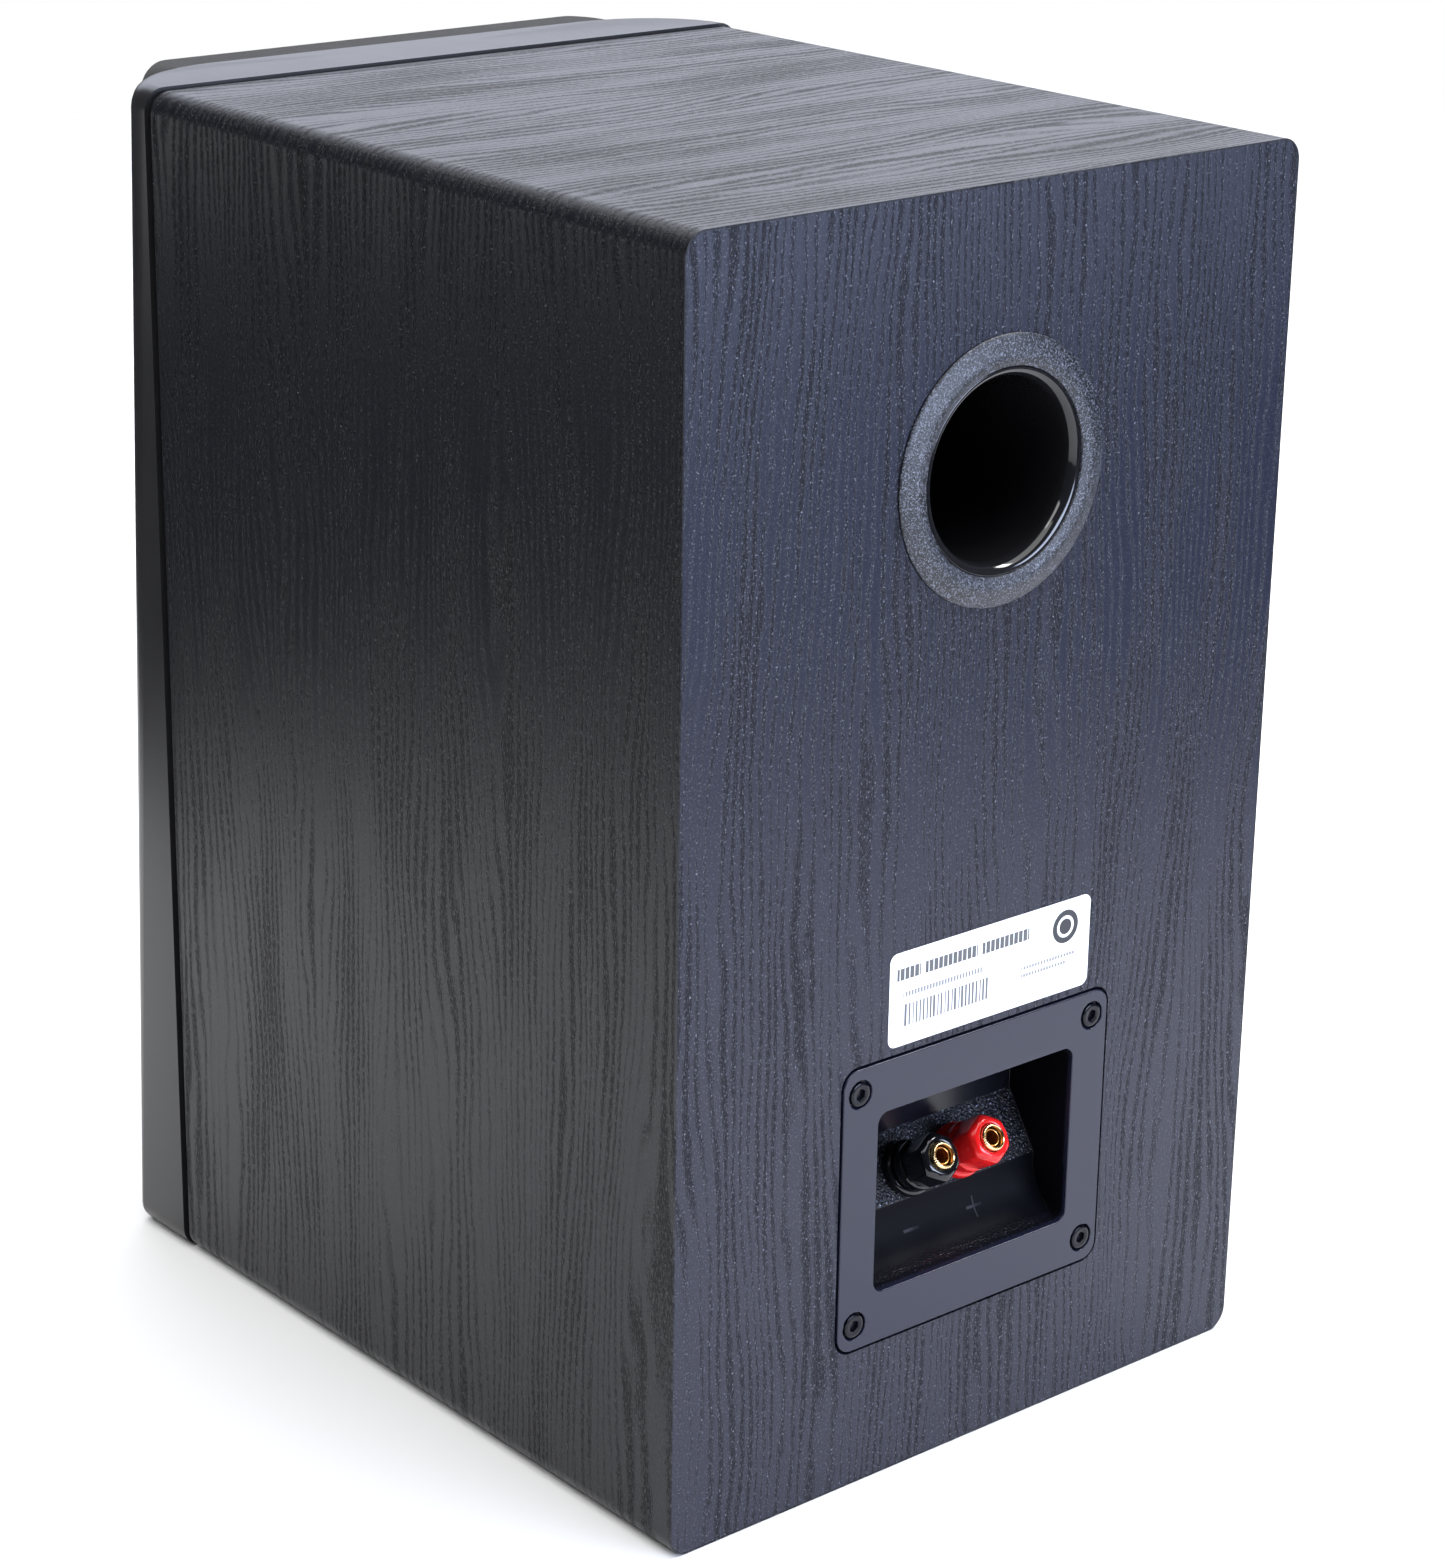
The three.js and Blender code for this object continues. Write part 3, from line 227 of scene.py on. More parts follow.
class Shade:
    """One material under construction."""

    def __init__(self, name):
        self.material = bpy.data.materials.new(name)
        self.material.use_nodes = True
        self.tree = self.material.node_tree
        self.tree.nodes.clear()
        place = self.node("TexCoord", output="Object")
        axes = self.node("SeparateXYZ", inputs={0: place})
        self.x, self.y, self.z = (Value(self, axes.socket.node.outputs[i]) / MM for i in range(3))

    def node(self, kind, settings=None, inputs=None, output=0):
        made = self.tree.nodes.new("ShaderNode" + kind)
        for key, setting in (settings or {}).items():
            setattr(made, key, setting)
        for key, value in (inputs or {}).items():
            if isinstance(value, Value):
                self.tree.links.new(value.socket, made.inputs[key])
            elif isinstance(value, tuple) and len(value) == 3 and made.inputs[key].type == "RGBA":
                made.inputs[key].default_value = (*value, 1)
            else:
                made.inputs[key].default_value = value
        return Value(self, made.outputs[output])

    def vector(self, x, y, z=0):
        return self.node("CombineXYZ", inputs={0: x, 1: y, 2: z})

    def noise(self, place, detail=2, scale=1, rough=0.5):
        inputs = {"Vector": place, "Scale": scale, "Detail": detail, "Roughness": rough}
        return self.node("TexNoise", {"noise_dimensions": "3D"}, inputs)

    def mix(self, first, second, amount):
        """Blends two colours."""
        settings = {"data_type": "RGBA", "clamp_factor": True}
        return self.node("Mix", settings, {0: amount, 6: first, 7: second}, output=2)

    def bump(self, height, depth, strength=1):
        """height runs from 0 to 1 and stands for depth millimetres."""
        return self.node("Bump", inputs={"Height": height, "Distance": depth * MM, "Strength": strength})

    def shader(self, **inputs):
        names = {key.replace("_", " ").title().replace("Ior", "IOR"): value for key, value in inputs.items()}
        return self.node("BsdfPrincipled", inputs=names)

    def finish(self, shader):
        output = self.tree.nodes.new("ShaderNodeOutputMaterial")
        self.tree.links.new(shader.socket, output.inputs["Surface"])
        return self.material

    def surface(self, **inputs):
        return self.finish(self.shader(**inputs))


print("shader helpers ready")

# %% [markdown]
# The cabinet is wrapped in black-ash vinyl: a printed and embossed film. Its look has three layers. Long,
# gently wavering bands a few millimetres wide are the rough early wood. Inside the bands lie short dark
# pores. A few bright specks are painted glints: they stand for pore edges that catch the light, painted
# into the film's colour. Between the bands the film is smooth. Bands and pores are stretched noise, so the
# pattern never repeats.

# %% Woodgrain vinyl
def shades_of(base, dull, painted_glint):
    return {"base": base, "dull": dull, "painted_glint": painted_glint}


RING_PITCH, RING_DRIFT, RING_WAVER = 3.2, 44, 3.6  # millimetres: year rings, their slow bend, their fast one
EMBOSSING = 0.17  # depth of the film's pores, in millimetres
REAR_SHIFT = 400  # the rear board is cut from another part of the sheet
FILM_PIT = (0.0015, 0.0015, 0.003)
WRAP_FILM = shades_of((0.0065, 0.0072, 0.0105), (0.003, 0.0034, 0.0055), (0.11, 0.115, 0.135))
# Painted light: the rear board is the same vinyl as the wrap, but its film is lighter and bluer, standing for
# the cool light on the rear face.
REAR_FILM_PAINTED_COOL_LIGHT = shades_of((0.0115, 0.0132, 0.0275), (0.0038, 0.0045, 0.011), (0.20, 0.215, 0.27))


def woodgrain(shade, film, along, across):
    """The film's colour, roughness, height and pores, from millimetres along and across the grain."""
    drift = shade.noise(shade.vector(across / 52, along / 280), detail=2)
    waver = shade.noise(shade.vector(across / 5, along / 26, 7), detail=3)
    spread = shade.noise(shade.vector(across / 13, along / 110, 3), detail=2)
    rings = ((across + drift * RING_DRIFT + waver * RING_WAVER) * (2 * math.pi / RING_PITCH)).sine()
    band = (rings * 0.6 + (spread - 0.5) * 3.4).step(-0.7, 0.9)  # 1 in rough early wood

    pores = shade.noise(shade.vector(across / 0.52, along / 2.0, 11), detail=3, rough=0.7)
    pore = (pores + band * 0.12).step(0.52, 0.64) * (band * 0.62 + 0.05)

    stipple = shade.noise(shade.vector(across / 0.5, along / 0.6, 5), detail=2, rough=0.75)
    # painted glints: bright specks in the colour that stand for pore edges catching the light
    glint = shade.noise(shade.vector(across / 0.55, along / 0.65, 23), detail=1).step(0.58, 0.74)

    colour = shade.mix(film["base"], film["dull"], stipple.step(0.40, 0.58) * (0.45 + band * 0.55))
    colour = shade.mix(colour, film["painted_glint"], glint * (band * 0.7 + 0.2))
    roughness = 0.3 + band * 0.06 + (stipple - 0.5) * 0.2
    height = 0.6 - pore * 0.8 + (stipple - 0.5) * (0.3 + band * 0.5)
    return colour, roughness, height, pore


def vinyl_material(name, film, wrapped):
    shade = Shade(name)
    if wrapped:  # the grain runs over the top and down both sides without a break
        down = cabinet_top / MM - shade.z
        along = shade.x + down * shade.x.maths("SIGN")
        colour, roughness, height, pore = woodgrain(shade, film, along, shade.y)
    else:
        colour, roughness, height, pore = woodgrain(shade, film, shade.z, shade.x + REAR_SHIFT)
    normal = shade.bump(height, EMBOSSING)
    smooth = shade.shader(base_color=colour, roughness=roughness, normal=normal, ior=1.4)
    pit = shade.shader(base_color=FILM_PIT, roughness=0.6, normal=normal, specular_ior_level=0.12)
    return shade.finish(shade.node("MixShader", inputs={0: pore, 1: smooth, 2: pit}))


vinyl_wrap = vinyl_material("vinyl_wrap", WRAP_FILM, True)
vinyl_rear = vinyl_material("vinyl_rear", REAR_FILM_PAINTED_COOL_LIGHT, False)
print("woodgrain vinyl ready")

# %% [markdown]
# Everything moulded in plastic shares one recipe: a dark colour, a gloss, and a fine spark-eroded grain
# whose size and depth set how satin it looks.

# %% Moulded plastics and rubber
def moulded(name, colour, rough, grain=0.25, depth=0.012, variation=0.06, **more):
    shade = Shade(name)
    place = shade.vector(shade.x, shade.y, shade.z)
    fine = shade.noise(place, detail=2, scale=1 / grain)
    broad = shade.noise(place, detail=2, scale=1 / 25)
    tone = shade.mix(colour, tuple(c * 1.5 for c in colour), broad)
    roughness = rough + (broad - 0.5) * variation + (fine - 0.5) * variation
    return shade.surface(base_color=tone, roughness=roughness, normal=shade.bump(fine, depth), **more)


fascia_satin = moulded("fascia_satin", (0.011, 0.011, 0.0125), 0.32, grain=0.35, depth=0.01, ior=1.42)
frame_black = moulded("frame_black", (0.02, 0.02, 0.021), 0.5)
soft_rubber = moulded("soft_rubber", (0.018, 0.018, 0.018), 0.62, grain=0.5, depth=0.02)
cone_poly = moulded("cone_poly", (0.02, 0.02, 0.022), 0.42, grain=1.2, depth=0.03)
gloss_black = moulded("gloss_black", (0.006, 0.006, 0.007), 0.09, grain=0.6, depth=0.002, variation=0.02)
port_satin = moulded("port_satin", (0.012, 0.012, 0.014), 0.16, grain=0.5, depth=0.003, variation=0.03)
film_blue = moulded("film_blue", (0.03, 0.05, 0.28), 0.3)
cement_white = moulded("cement_white", (0.62, 0.6, 0.54), 0.8, grain=0.4, depth=0.08)
board_green = moulded("board_green", (0.03, 0.11, 0.05), 0.45)
lead_red = moulded("lead_red", (0.45, 0.012, 0.012), 0.4)
print("plastics ready")


# %% [markdown]
# Metals are simple in colour, and what makes them read as metal is the fine turning or plating texture
# that stretches their highlights. A noise squeezed along one direction gives it.

# %% Metals, magnets, boards and cloths
def metal(name, colour, rough, stretch=(1, 1, 6), depth=0.004):
    shade = Shade(name)
    grain = shade.noise(shade.vector(*(a / (0.25 * s) for a, s in zip((shade.x, shade.y, shade.z), stretch))))
    tone = shade.mix(tuple(c * 0.86 for c in colour), colour, grain)
    roughness = rough + (grain - 0.5) * 0.16
    normal = shade.bump(grain, depth)
    return shade.surface(base_color=tone, metallic=1.0, roughness=roughness, normal=normal)


gold_plate = metal("gold_plate", (0.93, 0.72, 0.40), 0.17, depth=0.003)
gold_socket = metal("gold_socket", (0.62, 0.30, 0.09), 0.28, depth=0.003)
zinc_steel = metal("zinc_steel", (0.55, 0.56, 0.58), 0.34)
copper_wire = metal("copper_wire", (0.72, 0.3, 0.14), 0.3, stretch=(6, 6, 0.8), depth=0.03)
black_steel = moulded("black_steel", (0.003, 0.0034, 0.006), 0.14, grain=0.4, depth=0.005, ior=1.31)
ferrite = moulded("ferrite", (0.04, 0.04, 0.042), 0.7, grain=0.7, depth=0.05)


def fibreboard_material():
    shade = Shade("fibreboard")
    fibre = shade.noise(shade.vector(shade.x / 1.1, shade.y / 1.1, shade.z / 0.35), detail=4)
    tone = shade.mix((0.27, 0.18, 0.10), (0.42, 0.31, 0.19), fibre)
    return shade.surface(base_color=tone, roughness=0.85, normal=shade.bump(fibre, 0.08))


LOOP, WEAVE = 0.7, 0.8  # millimetres: one loop of the grille's knit, one thread pair of the spider's weave


def knit_material():
    """Black acoustic cloth: a fine open knit, with rows of small loops."""
    shade = Shade("acoustic_cloth")
    pitch = 2 * math.pi / LOOP
    drift = shade.noise(shade.vector(shade.x / 9, shade.y / 9, shade.z / 9), detail=2)
    rows = ((shade.x + shade.y) * pitch).sine() * (shade.z * pitch + drift * 2).sine()
    loops = rows.step(-0.5, 0.9)
    tone = shade.mix((0.004, 0.004, 0.005), (0.026, 0.026, 0.029), loops * (0.6 + drift * 0.7))
    normal = shade.bump(loops, 0.18)
    return shade.surface(
        base_color=tone, roughness=0.9, sheen_weight=0.08, sheen_roughness=0.5, normal=normal,
    )


def wadding_material():
    shade = Shade("wadding")
    tuft = shade.noise(shade.vector(shade.x / 6, shade.y / 6, shade.z / 6), detail=6, rough=0.65)
    tone = shade.mix((0.5, 0.5, 0.48), (0.86, 0.86, 0.84), tuft)
    return shade.surface(base_color=tone, roughness=0.95, sheen_weight=0.4, normal=shade.bump(tuft, 1.5))


def spider_material():
    shade = Shade("spider_cloth")
    pitch = 2 * math.pi / WEAVE
    weave = ((shade.x * pitch).sine() * (shade.z * pitch).sine()).step(-0.3, 0.6)
    tone = shade.mix((0.3, 0.17, 0.05), (0.62, 0.42, 0.16), weave)
    return shade.surface(base_color=tone, roughness=0.7, normal=shade.bump(weave, 0.1))


fibreboard = fibreboard_material()
acoustic_cloth = knit_material()
wadding = wadding_material()
spider_cloth = spider_material()
print("metals, board and cloths ready")


# %% [markdown]
# The two posts are clear cases of clear and opaque plastic. The black cap is glossy and opaque. The red
# one is tinted and lets light in, so its ridges glow and its hollow core stays dark. A little
# transmission with a deep red base does this without a full glass.

# %% Post plastics
def red_cap_material():
    shade = Shade("post_red")
    flow = shade.noise(shade.vector(shade.x / 3, shade.y / 3, shade.z / 3), detail=2)
    tone = shade.mix((0.62, 0.006, 0.008), (0.9, 0.02, 0.02), flow)
    return shade.surface(
        base_color=tone, roughness=0.12 + flow * 0.05, normal=shade.bump(flow, 0.02), ior=1.5,
        transmission_weight=0.25, subsurface_weight=0.2, subsurface_radius=(0.004, 0.0004, 0.0003),
    )


post_red = red_cap_material()
post_black = moulded("post_black", (0.003, 0.003, 0.004), 0.08, grain=0.8, depth=0.004, variation=0.03)
print("post plastics ready")

# %% [markdown]
# The terminal cup keeps its CAD shape. Its face is a fine satin, while the sloping ledge behind the posts
# has a coarse leather-like grain. One material holds both: the grain is switched on where the surface
# tilts the way the ledge does and lies deep enough. The pocket's side walls, its hollow lower panel and,
# in part, its floor see little light, and that shade is painted into the material: there it blends into a
# darker, more matt shader. The face colour also turns darker inside the pocket, as painted shade.

# %% Terminal cup finish and painted shade
LEDGE_FOOT, SHADE_TOP = 71.2, 73.0  # heights in millimetres: the ledge's lower edge, and where shade begins


def cup_material():
    shade = Shade("terminal_cup")
    facing = shade.node("SeparateXYZ", inputs={0: shade.node("NewGeometry", output="Normal")})
    tilt = Value(shade, facing.socket.node.outputs[2])
    deep = rear_y / MM - shade.y
    sloping = tilt.step(0.35, 0.45) * (1 - tilt.step(0.65, 0.75))
    ledge = sloping * deep.step(10, 12) * shade.z.step(LEDGE_FOOT - 0.1, LEDGE_FOOT + 0.1)
    floor_lip = tilt.step(0.8, 0.9) * deep.step(0.5, 1.5)
    place = shade.vector(shade.x / 1.2, shade.y / 1.2, shade.z / 1.2)
    leather = shade.node("TexVoronoi", {"feature": "DISTANCE_TO_EDGE"}, {"Vector": place, "Scale": 1.0})
    cells = leather.step(0, 0.3)
    fine = shade.noise(shade.vector(shade.x / 0.3, shade.y / 0.3, shade.z / 0.3), detail=2)
    flecks = shade.noise(shade.vector(shade.x / 0.7, shade.y / 0.7, shade.z / 0.7), detail=2, rough=0.7)
    grained = (ledge + floor_lip * 0.2).least(1)
    height = fine * (1 - grained) * 0.03 + cells * grained * (0.5 + flecks)
    inside = deep.step(0.3, 2.5)
    # painted shade: the face colour darkens inside the pocket
    plain = shade.mix((0.0085, 0.0105, 0.025), (0.004, 0.0045, 0.008), inside)
    tone = shade.mix(plain, (0.26, 0.29, 0.38), flecks.step(0.55, 0.68) * cells * grained)
    rough = 0.24 + (fine - 0.5) * 0.08 + grained * 0.12
    normal = shade.bump(height, 0.28)
    satin = shade.shader(base_color=tone, roughness=rough, normal=normal, ior=1.46)
    # painted shade: a darker, more matt shader for the pocket's shaded parts
    shadowed = shade.shader(
        base_color=(0.0018, 0.002, 0.0038), roughness=0.5, normal=normal, specular_ior_level=0.06,
    )
    # painted shade masks: the side walls, the lower panel below SHADE_TOP, and the floor at 60 percent
    painted_wall_shade = abs(Value(shade, facing.socket.node.outputs[0])).step(0.6, 0.8) * inside
    below = 1 - shade.z.step(SHADE_TOP - 0.3, SHADE_TOP + 0.3)
    low = below * inside * (1 - tilt.step(0.9, 0.97) * 0.4)
    return shade.finish(shade.node("MixShader", inputs={0: (painted_wall_shade + low).least(1), 1: satin, 2: shadowed}))


cup_finish_and_painted_shade = cup_material()
print("terminal cup finish ready")

# %% [markdown]
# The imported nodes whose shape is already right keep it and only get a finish. Each finish is chosen by
# the node's place in the product, since one moulded black would make the grille frame and the fascia look
# alike.

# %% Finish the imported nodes
finishes = {
    vinyl_wrap: ["top_panel", "bottom_panel", "left_side_panel", "right_side_panel"],
    vinyl_rear: ["rear_panel"],
    fascia_satin: ["front_fascia"],
    frame_black: ["grille_frame", "tweeter_faceplate", "tweeter_rear_chamber"],
    fibreboard: ["baffle_board", "cross_brace"],
    soft_rubber: ["terminal_gasket", "woofer_surround", "input_lead_black", "woofer_lead", "tweeter_lead"],
    cone_poly: ["woofer_cone", "woofer_dust_cap", "tweeter_dome"],
    black_steel: ["woofer_basket"],
    zinc_steel: [
        "woofer_top_plate", "woofer_back_plate", "tweeter_top_plate", "tweeter_back_plate",
        "black_post_nut", "red_post_nut",
    ],
    ferrite: ["woofer_magnet", "tweeter_magnet"],
    spider_cloth: ["woofer_spider"],
    copper_wire: ["woofer_voice_coil", "woofer_inductor", "tweeter_inductor"],
    board_green: ["crossover_board"],
    film_blue: ["capacitor"],
    cement_white: ["resistor"],
    lead_red: ["input_lead_red"],
    gold_plate: ["black_post_stud", "red_post_stud", "black_post_sleeve", "red_post_sleeve"],
    port_satin: ["port_tube", "port_flange"],
    cup_finish_and_painted_shade: ["terminal_cup"],
    acoustic_cloth: ["grille_cloth"],
    wadding: ["damping_pad_left", "damping_pad_right"],
    post_red: ["red_post_cap", "red_post_collar", "red_post_washer"],
    post_black: ["black_post_cap", "black_post_collar", "black_post_washer"],
}
finishes[soft_rubber] += [name for name in nodes if name.startswith("grille_cup")]
finishes[black_steel] += [name for name in nodes if name.startswith("terminal_screw")]


def give(piece, material):
    for place in piece.material_slots:
        place.material = material
    if not piece.material_slots:
        piece.data.materials.append(material)


WELD, CREASE = 0.004 * MM, math.radians(30)


def smooth_skin_nodes():
    """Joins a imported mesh's facets, drops its stored normals and shades it smooth up to 30 degrees."""
    group = bpy.data.node_groups.new("smooth_skin", "GeometryNodeTree")
    group.interface.new_socket("Geometry", in_out="INPUT", socket_type="NodeSocketGeometry")
    group.interface.new_socket("Geometry", in_out="OUTPUT", socket_type="NodeSocketGeometry")
    source, result = group.nodes.new("NodeGroupInput"), group.nodes.new("NodeGroupOutput")
    merge = group.nodes.new("GeometryNodeMergeByDistance")
    merge.inputs["Distance"].default_value = WELD
    drop = group.nodes.new("GeometryNodeRemoveAttribute")
    drop.inputs["Name"].default_value = "custom_normal"
    faces = group.nodes.new("GeometryNodeSetShadeSmooth")
    edges = group.nodes.new("GeometryNodeSetShadeSmooth")
    edges.domain = "EDGE"
    edges.inputs["Shade Smooth"].default_value = False
    angle = group.nodes.new("GeometryNodeInputMeshEdgeAngle")
    sharp = group.nodes.new("FunctionNodeCompare")
    sharp.data_type, sharp.operation = "FLOAT", "GREATER_THAN"
    sharp.inputs["B"].default_value = CREASE
    group.links.new(angle.outputs["Unsigned Angle"], sharp.inputs["A"])
    group.links.new(sharp.outputs["Result"], edges.inputs["Selection"])
    chain = [source, merge, drop, faces, edges, result]
    for first, second in zip(chain, chain[1:]):
        group.links.new(first.outputs["Geometry"], second.inputs["Geometry"])
    return group


smooth_skin = smooth_skin_nodes()


def soften(piece, radius):
    """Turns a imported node's triangles into whole faces and rounds its sharp edges, all in modifiers."""
    faces = piece.modifiers.new("whole_faces", "DECIMATE")
    faces.decimate_type, faces.angle_limit = "DISSOLVE", math.radians(0.5)
    edges = piece.modifiers.new("soft_edges", "BEVEL")
    edges.width, edges.segments = radius * MM, 2
    edges.limit_method, edges.angle_limit = "ANGLE", math.radians(38)
    edges.harden_normals, edges.use_clamp_overlap = True, False


for material, names in finishes.items():
    for name in names:
        give(nodes[name], material)
        nodes[name].modifiers.new("smooth_skin", "NODES").node_group = smooth_skin
soften(nodes["terminal_cup"], 0.35)
unfinished = sorted(set(nodes) - {name for names in finishes.values() for name in names})
print("nodes without a finish:", unfinished)

# %% [markdown]
# Most of the finer pieces are turned parts: the port, the posts, the screws. Each is drawn as half a
# section, in millimetres, and swung round its axis. A section point may also name a kind. At "hex" the
# circle is pressed into a hexagon whose corners stand out by the ratio that follows, and at "notch" fine
# notches run round it. This one helper keeps every edge radius that a plain cylinder would lose.

# %% Turned pieces
HEX_POWER = 16  # how tightly a hexagon's flats meet its corners
NOTCH_SHARE = 0.018  # of the radius


def hexagon(angle, flat, corner):
    """Radius of a soft hexagon that reaches flat at its sides and corner at its corners."""
    across = math.cos((angle + math.pi / 6) % (math.pi / 3) - math.pi / 6)
    return ((across / flat) ** HEX_POWER + (1 / corner) ** HEX_POWER) ** (-1 / HEX_POWER)


def finish_mesh(piece, material, body, sharp=35):
    mesh = bmesh.new()
    mesh.from_mesh(piece.data)
    bmesh.ops.remove_doubles(mesh, verts=mesh.verts, dist=0.002 * MM)
    bmesh.ops.recalc_face_normals(mesh, faces=mesh.faces)
    mesh.to_mesh(piece.data)
    mesh.free()
    for face in piece.data.polygons:
        face.use_smooth = True
    piece.data.set_sharp_from_angle(angle=math.radians(sharp))
    give(piece, material)
    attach(piece, body)
    return piece


def turned(name, section, centre, axis, material, body, segments=96, sharp=35, notches=0):
    """section lists (radius, height) or (radius, height, kind) in millimetres, round a closed loop."""
    axis = Vector(axis).normalized()
    side = axis.orthogonal().normalized() if abs(axis.x) > 0.5 else Vector((1, 0, 0))
    other = axis.cross(side)
    points = []
    for radius, height, *kind in section:
        for i in range(segments):
            angle = 2 * math.pi * i / segments
            reach = radius
            if kind and kind[0] == "hex":
                reach = hexagon(angle, radius, radius * kind[1])
            if kind and kind[0] == "notch":
                reach = radius * (1 + NOTCH_SHARE * math.cos(angle * notches))
            outward = side * math.cos(angle) + other * math.sin(angle)
            points.append(Vector(centre) + (axis * height + outward * reach) * MM)
    faces, rings = [], len(section)
    for r in range(rings):
        for i in range(segments):
            j, nxt = (i + 1) % segments, (r + 1) % rings
            faces.append((r * segments + i, r * segments + j, nxt * segments + j, nxt * segments + i))
    return finish_mesh(mesh_object(name, points, faces), material, body, sharp)


def arc(centre, radii, start, end, steps=8):
    """Section points on an ellipse, angles in degrees."""
    angles = (math.radians(start + (end - start) * i / steps) for i in range(steps + 1))
    return [(centre[0] + radii[0] * math.cos(a), centre[1] + radii[1] * math.sin(a)) for a in angles]


print("turning helper ready")

# %% [markdown]
# The port has two mouldings. The outer ring has a spark-eroded texture and a crest, from which it falls
# away to the wood. The tube inside it is smooth: its lip rolls over and flares down into the dark bore.
# Two pieces with a hair of a gap between them give the fine line that parts the two finishes.

# %% Port
port_centre = (0, rear_y, port_z)


def port_grain_material():
    shade = Shade("port_grain")
    place = shade.vector(shade.x / 0.5, shade.y / 0.5, shade.z / 0.5)
    pits = shade.noise(place, detail=2, rough=0.65)
    tone = shade.mix((0.0015, 0.0018, 0.004), (0.125, 0.136, 0.175), pits.step(0.47, 0.70))
    return shade.surface(base_color=tone, roughness=0.3 + pits * 0.14, normal=shade.bump(pits, 0.2))


port_grain = port_grain_material()
ring_section = [
    (29.9, -10), (29.9, 0.04), (36.2, 0.04), (36.42, 0.25), (36.45, 0.5), (36.3, 0.72), (35.9, 0.9),
    (35.0, 1.2), (33.9, 1.58), (32.6, 1.98), (31.7, 2.2), (31.1, 2.26), (30.5, 2.22), (29.5, 2.02),
    (28.6, 1.74), (28.1, 1.56), (27.93, 1.3), (27.93, -10),
]
port_ring = turned("port_ring", ring_section, port_centre, (0, 1, 0), port_grain, "cabinet", 160)
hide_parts("port_flange")

flare = arc((27.45, -3.4), (2.85, 4.65), 180, 90, 20) + [(27.66, 1.2), (27.8, 0.95), (27.83, 0.5)]
tube_section = flare + [
    (27.83, -13), (26.6, -15), (26.6, -106), (28.6, -113), (31.4, -118), (31.2, -118.6), (29.9, -118),
    (26.6, -112), (24.9, -108), (24.6, -106),
]
port_throat = turned("port_throat", tube_section, port_centre, (0, 1, 0), gloss_black, "cabinet", 160)
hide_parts("port_tube")
print("port ring", len(port_ring.data.vertices), "points")

# %% [markdown]
# The binding posts lean 33 degrees upwards from the ledge. Each has a base collar, a loose washer, a
# plated pin with a socket for a banana plug, and a cap: a soft hexagon of plastic round a plated sleeve
# whose bevelled end has fine notches. The cap and sleeve ride together, since they unscrew as one.

# %% Binding posts
POST_TILT = math.radians(33)
post_axis = Vector((0, math.cos(POST_TILT), math.sin(POST_TILT)))
POST_OFFSET = 9.5 * MM  # half of the usual 19 mm between two posts
ledge_depth, ledge_drop = 17.5 * MM, 4 * MM
base_section = [
    (2.9, 0.3), (7.7, 0.3), (8.0, 0.6), (8.0, 2.0), (7.8, 2.55), (7.3, 2.95), (6.8, 3.1), (2.9, 3.1),
]
washer_section = [(3.0, 3.4), (6.2, 3.4), (6.4, 3.55), (6.4, 4.05), (6.2, 4.2), (3.0, 4.2)]
pin_section = [
    (0, -14), (2.6, -14), (2.6, 16.9), (2.5, 17.4), (2.3, 17.6), (2.14, 17.55), (2.02, 17.2), (2.02, 5.2),
    (1.6, 4.7), (0, 4.5),
]
gilt_section = [
    (4.42, 5.0), (4.42, 16.4), (3.86, 16.6), (3.86, 17.9), (3.8, 18.25, "notch"), (3.62, 18.6, "notch"),
    (3.45, 18.76, "notch"), (3.3, 18.8), (3.08, 18.6), (2.98, 18.1), (2.9, 16.6), (2.74, 15.0), (2.74, 5.0),
]
grip_section = [
    (4.55, 4.5), (6.9, 4.5), (7.2, 4.62), (7.3, 4.9), (7.3, 7.0), (7.2, 7.35), (6.95, 7.55),
    (6.5, 7.75, "hex", 1.1), (6.6, 8.2, "hex", 1.125), (6.6, 15.4, "hex", 1.125), (6.55, 15.9, "hex", 1.11),
    (6.4, 16.45, "hex", 1.08), (6.1, 16.95, "hex", 1.04), (5.7, 17.3), (5.2, 17.5), (4.7, 17.55),
    (4.25, 17.45), (4.06, 17.2), (4.04, 16.75), (4.55, 16.55),
]
for tone, side_x, plastic in (("black", POST_OFFSET, post_black), ("red", -POST_OFFSET, post_red)):
    foot = (side_x, rear_y - ledge_depth, plate_z - ledge_drop)
    parts = (
        ("base", base_section, plastic, "cabinet", "collar", 0),
        ("flat_washer", washer_section, plastic, tone + "_washer", "washer", 0),
        ("pin", pin_section, gold_socket, "cabinet", "stud", 0),
        ("gilt_ring", gilt_section, gold_plate, tone + "_cap", "sleeve", 36),
        ("grip", grip_section, plastic, tone + "_cap", "cap", 0),
    )
    for label, section, material, body, stands_for, notches in parts:
        piece = turned(f"{tone}_{label}", section, foot, post_axis, material, body, 144, 30, notches)
        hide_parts(f"{tone}_post_{stands_for}")
        "gilt" if label in ("pin", "gilt_ring") else "post_" + tone
print("post axis", [round(v, 3) for v in post_axis])

# %% [markdown]
# Four socket-head screws hold the terminal plate. Their heads sit just under its face, slightly crowned,
# with a hexagonal socket. Drawn with an edge radius, each head picks up the thin bright crescent that
# gives it away.

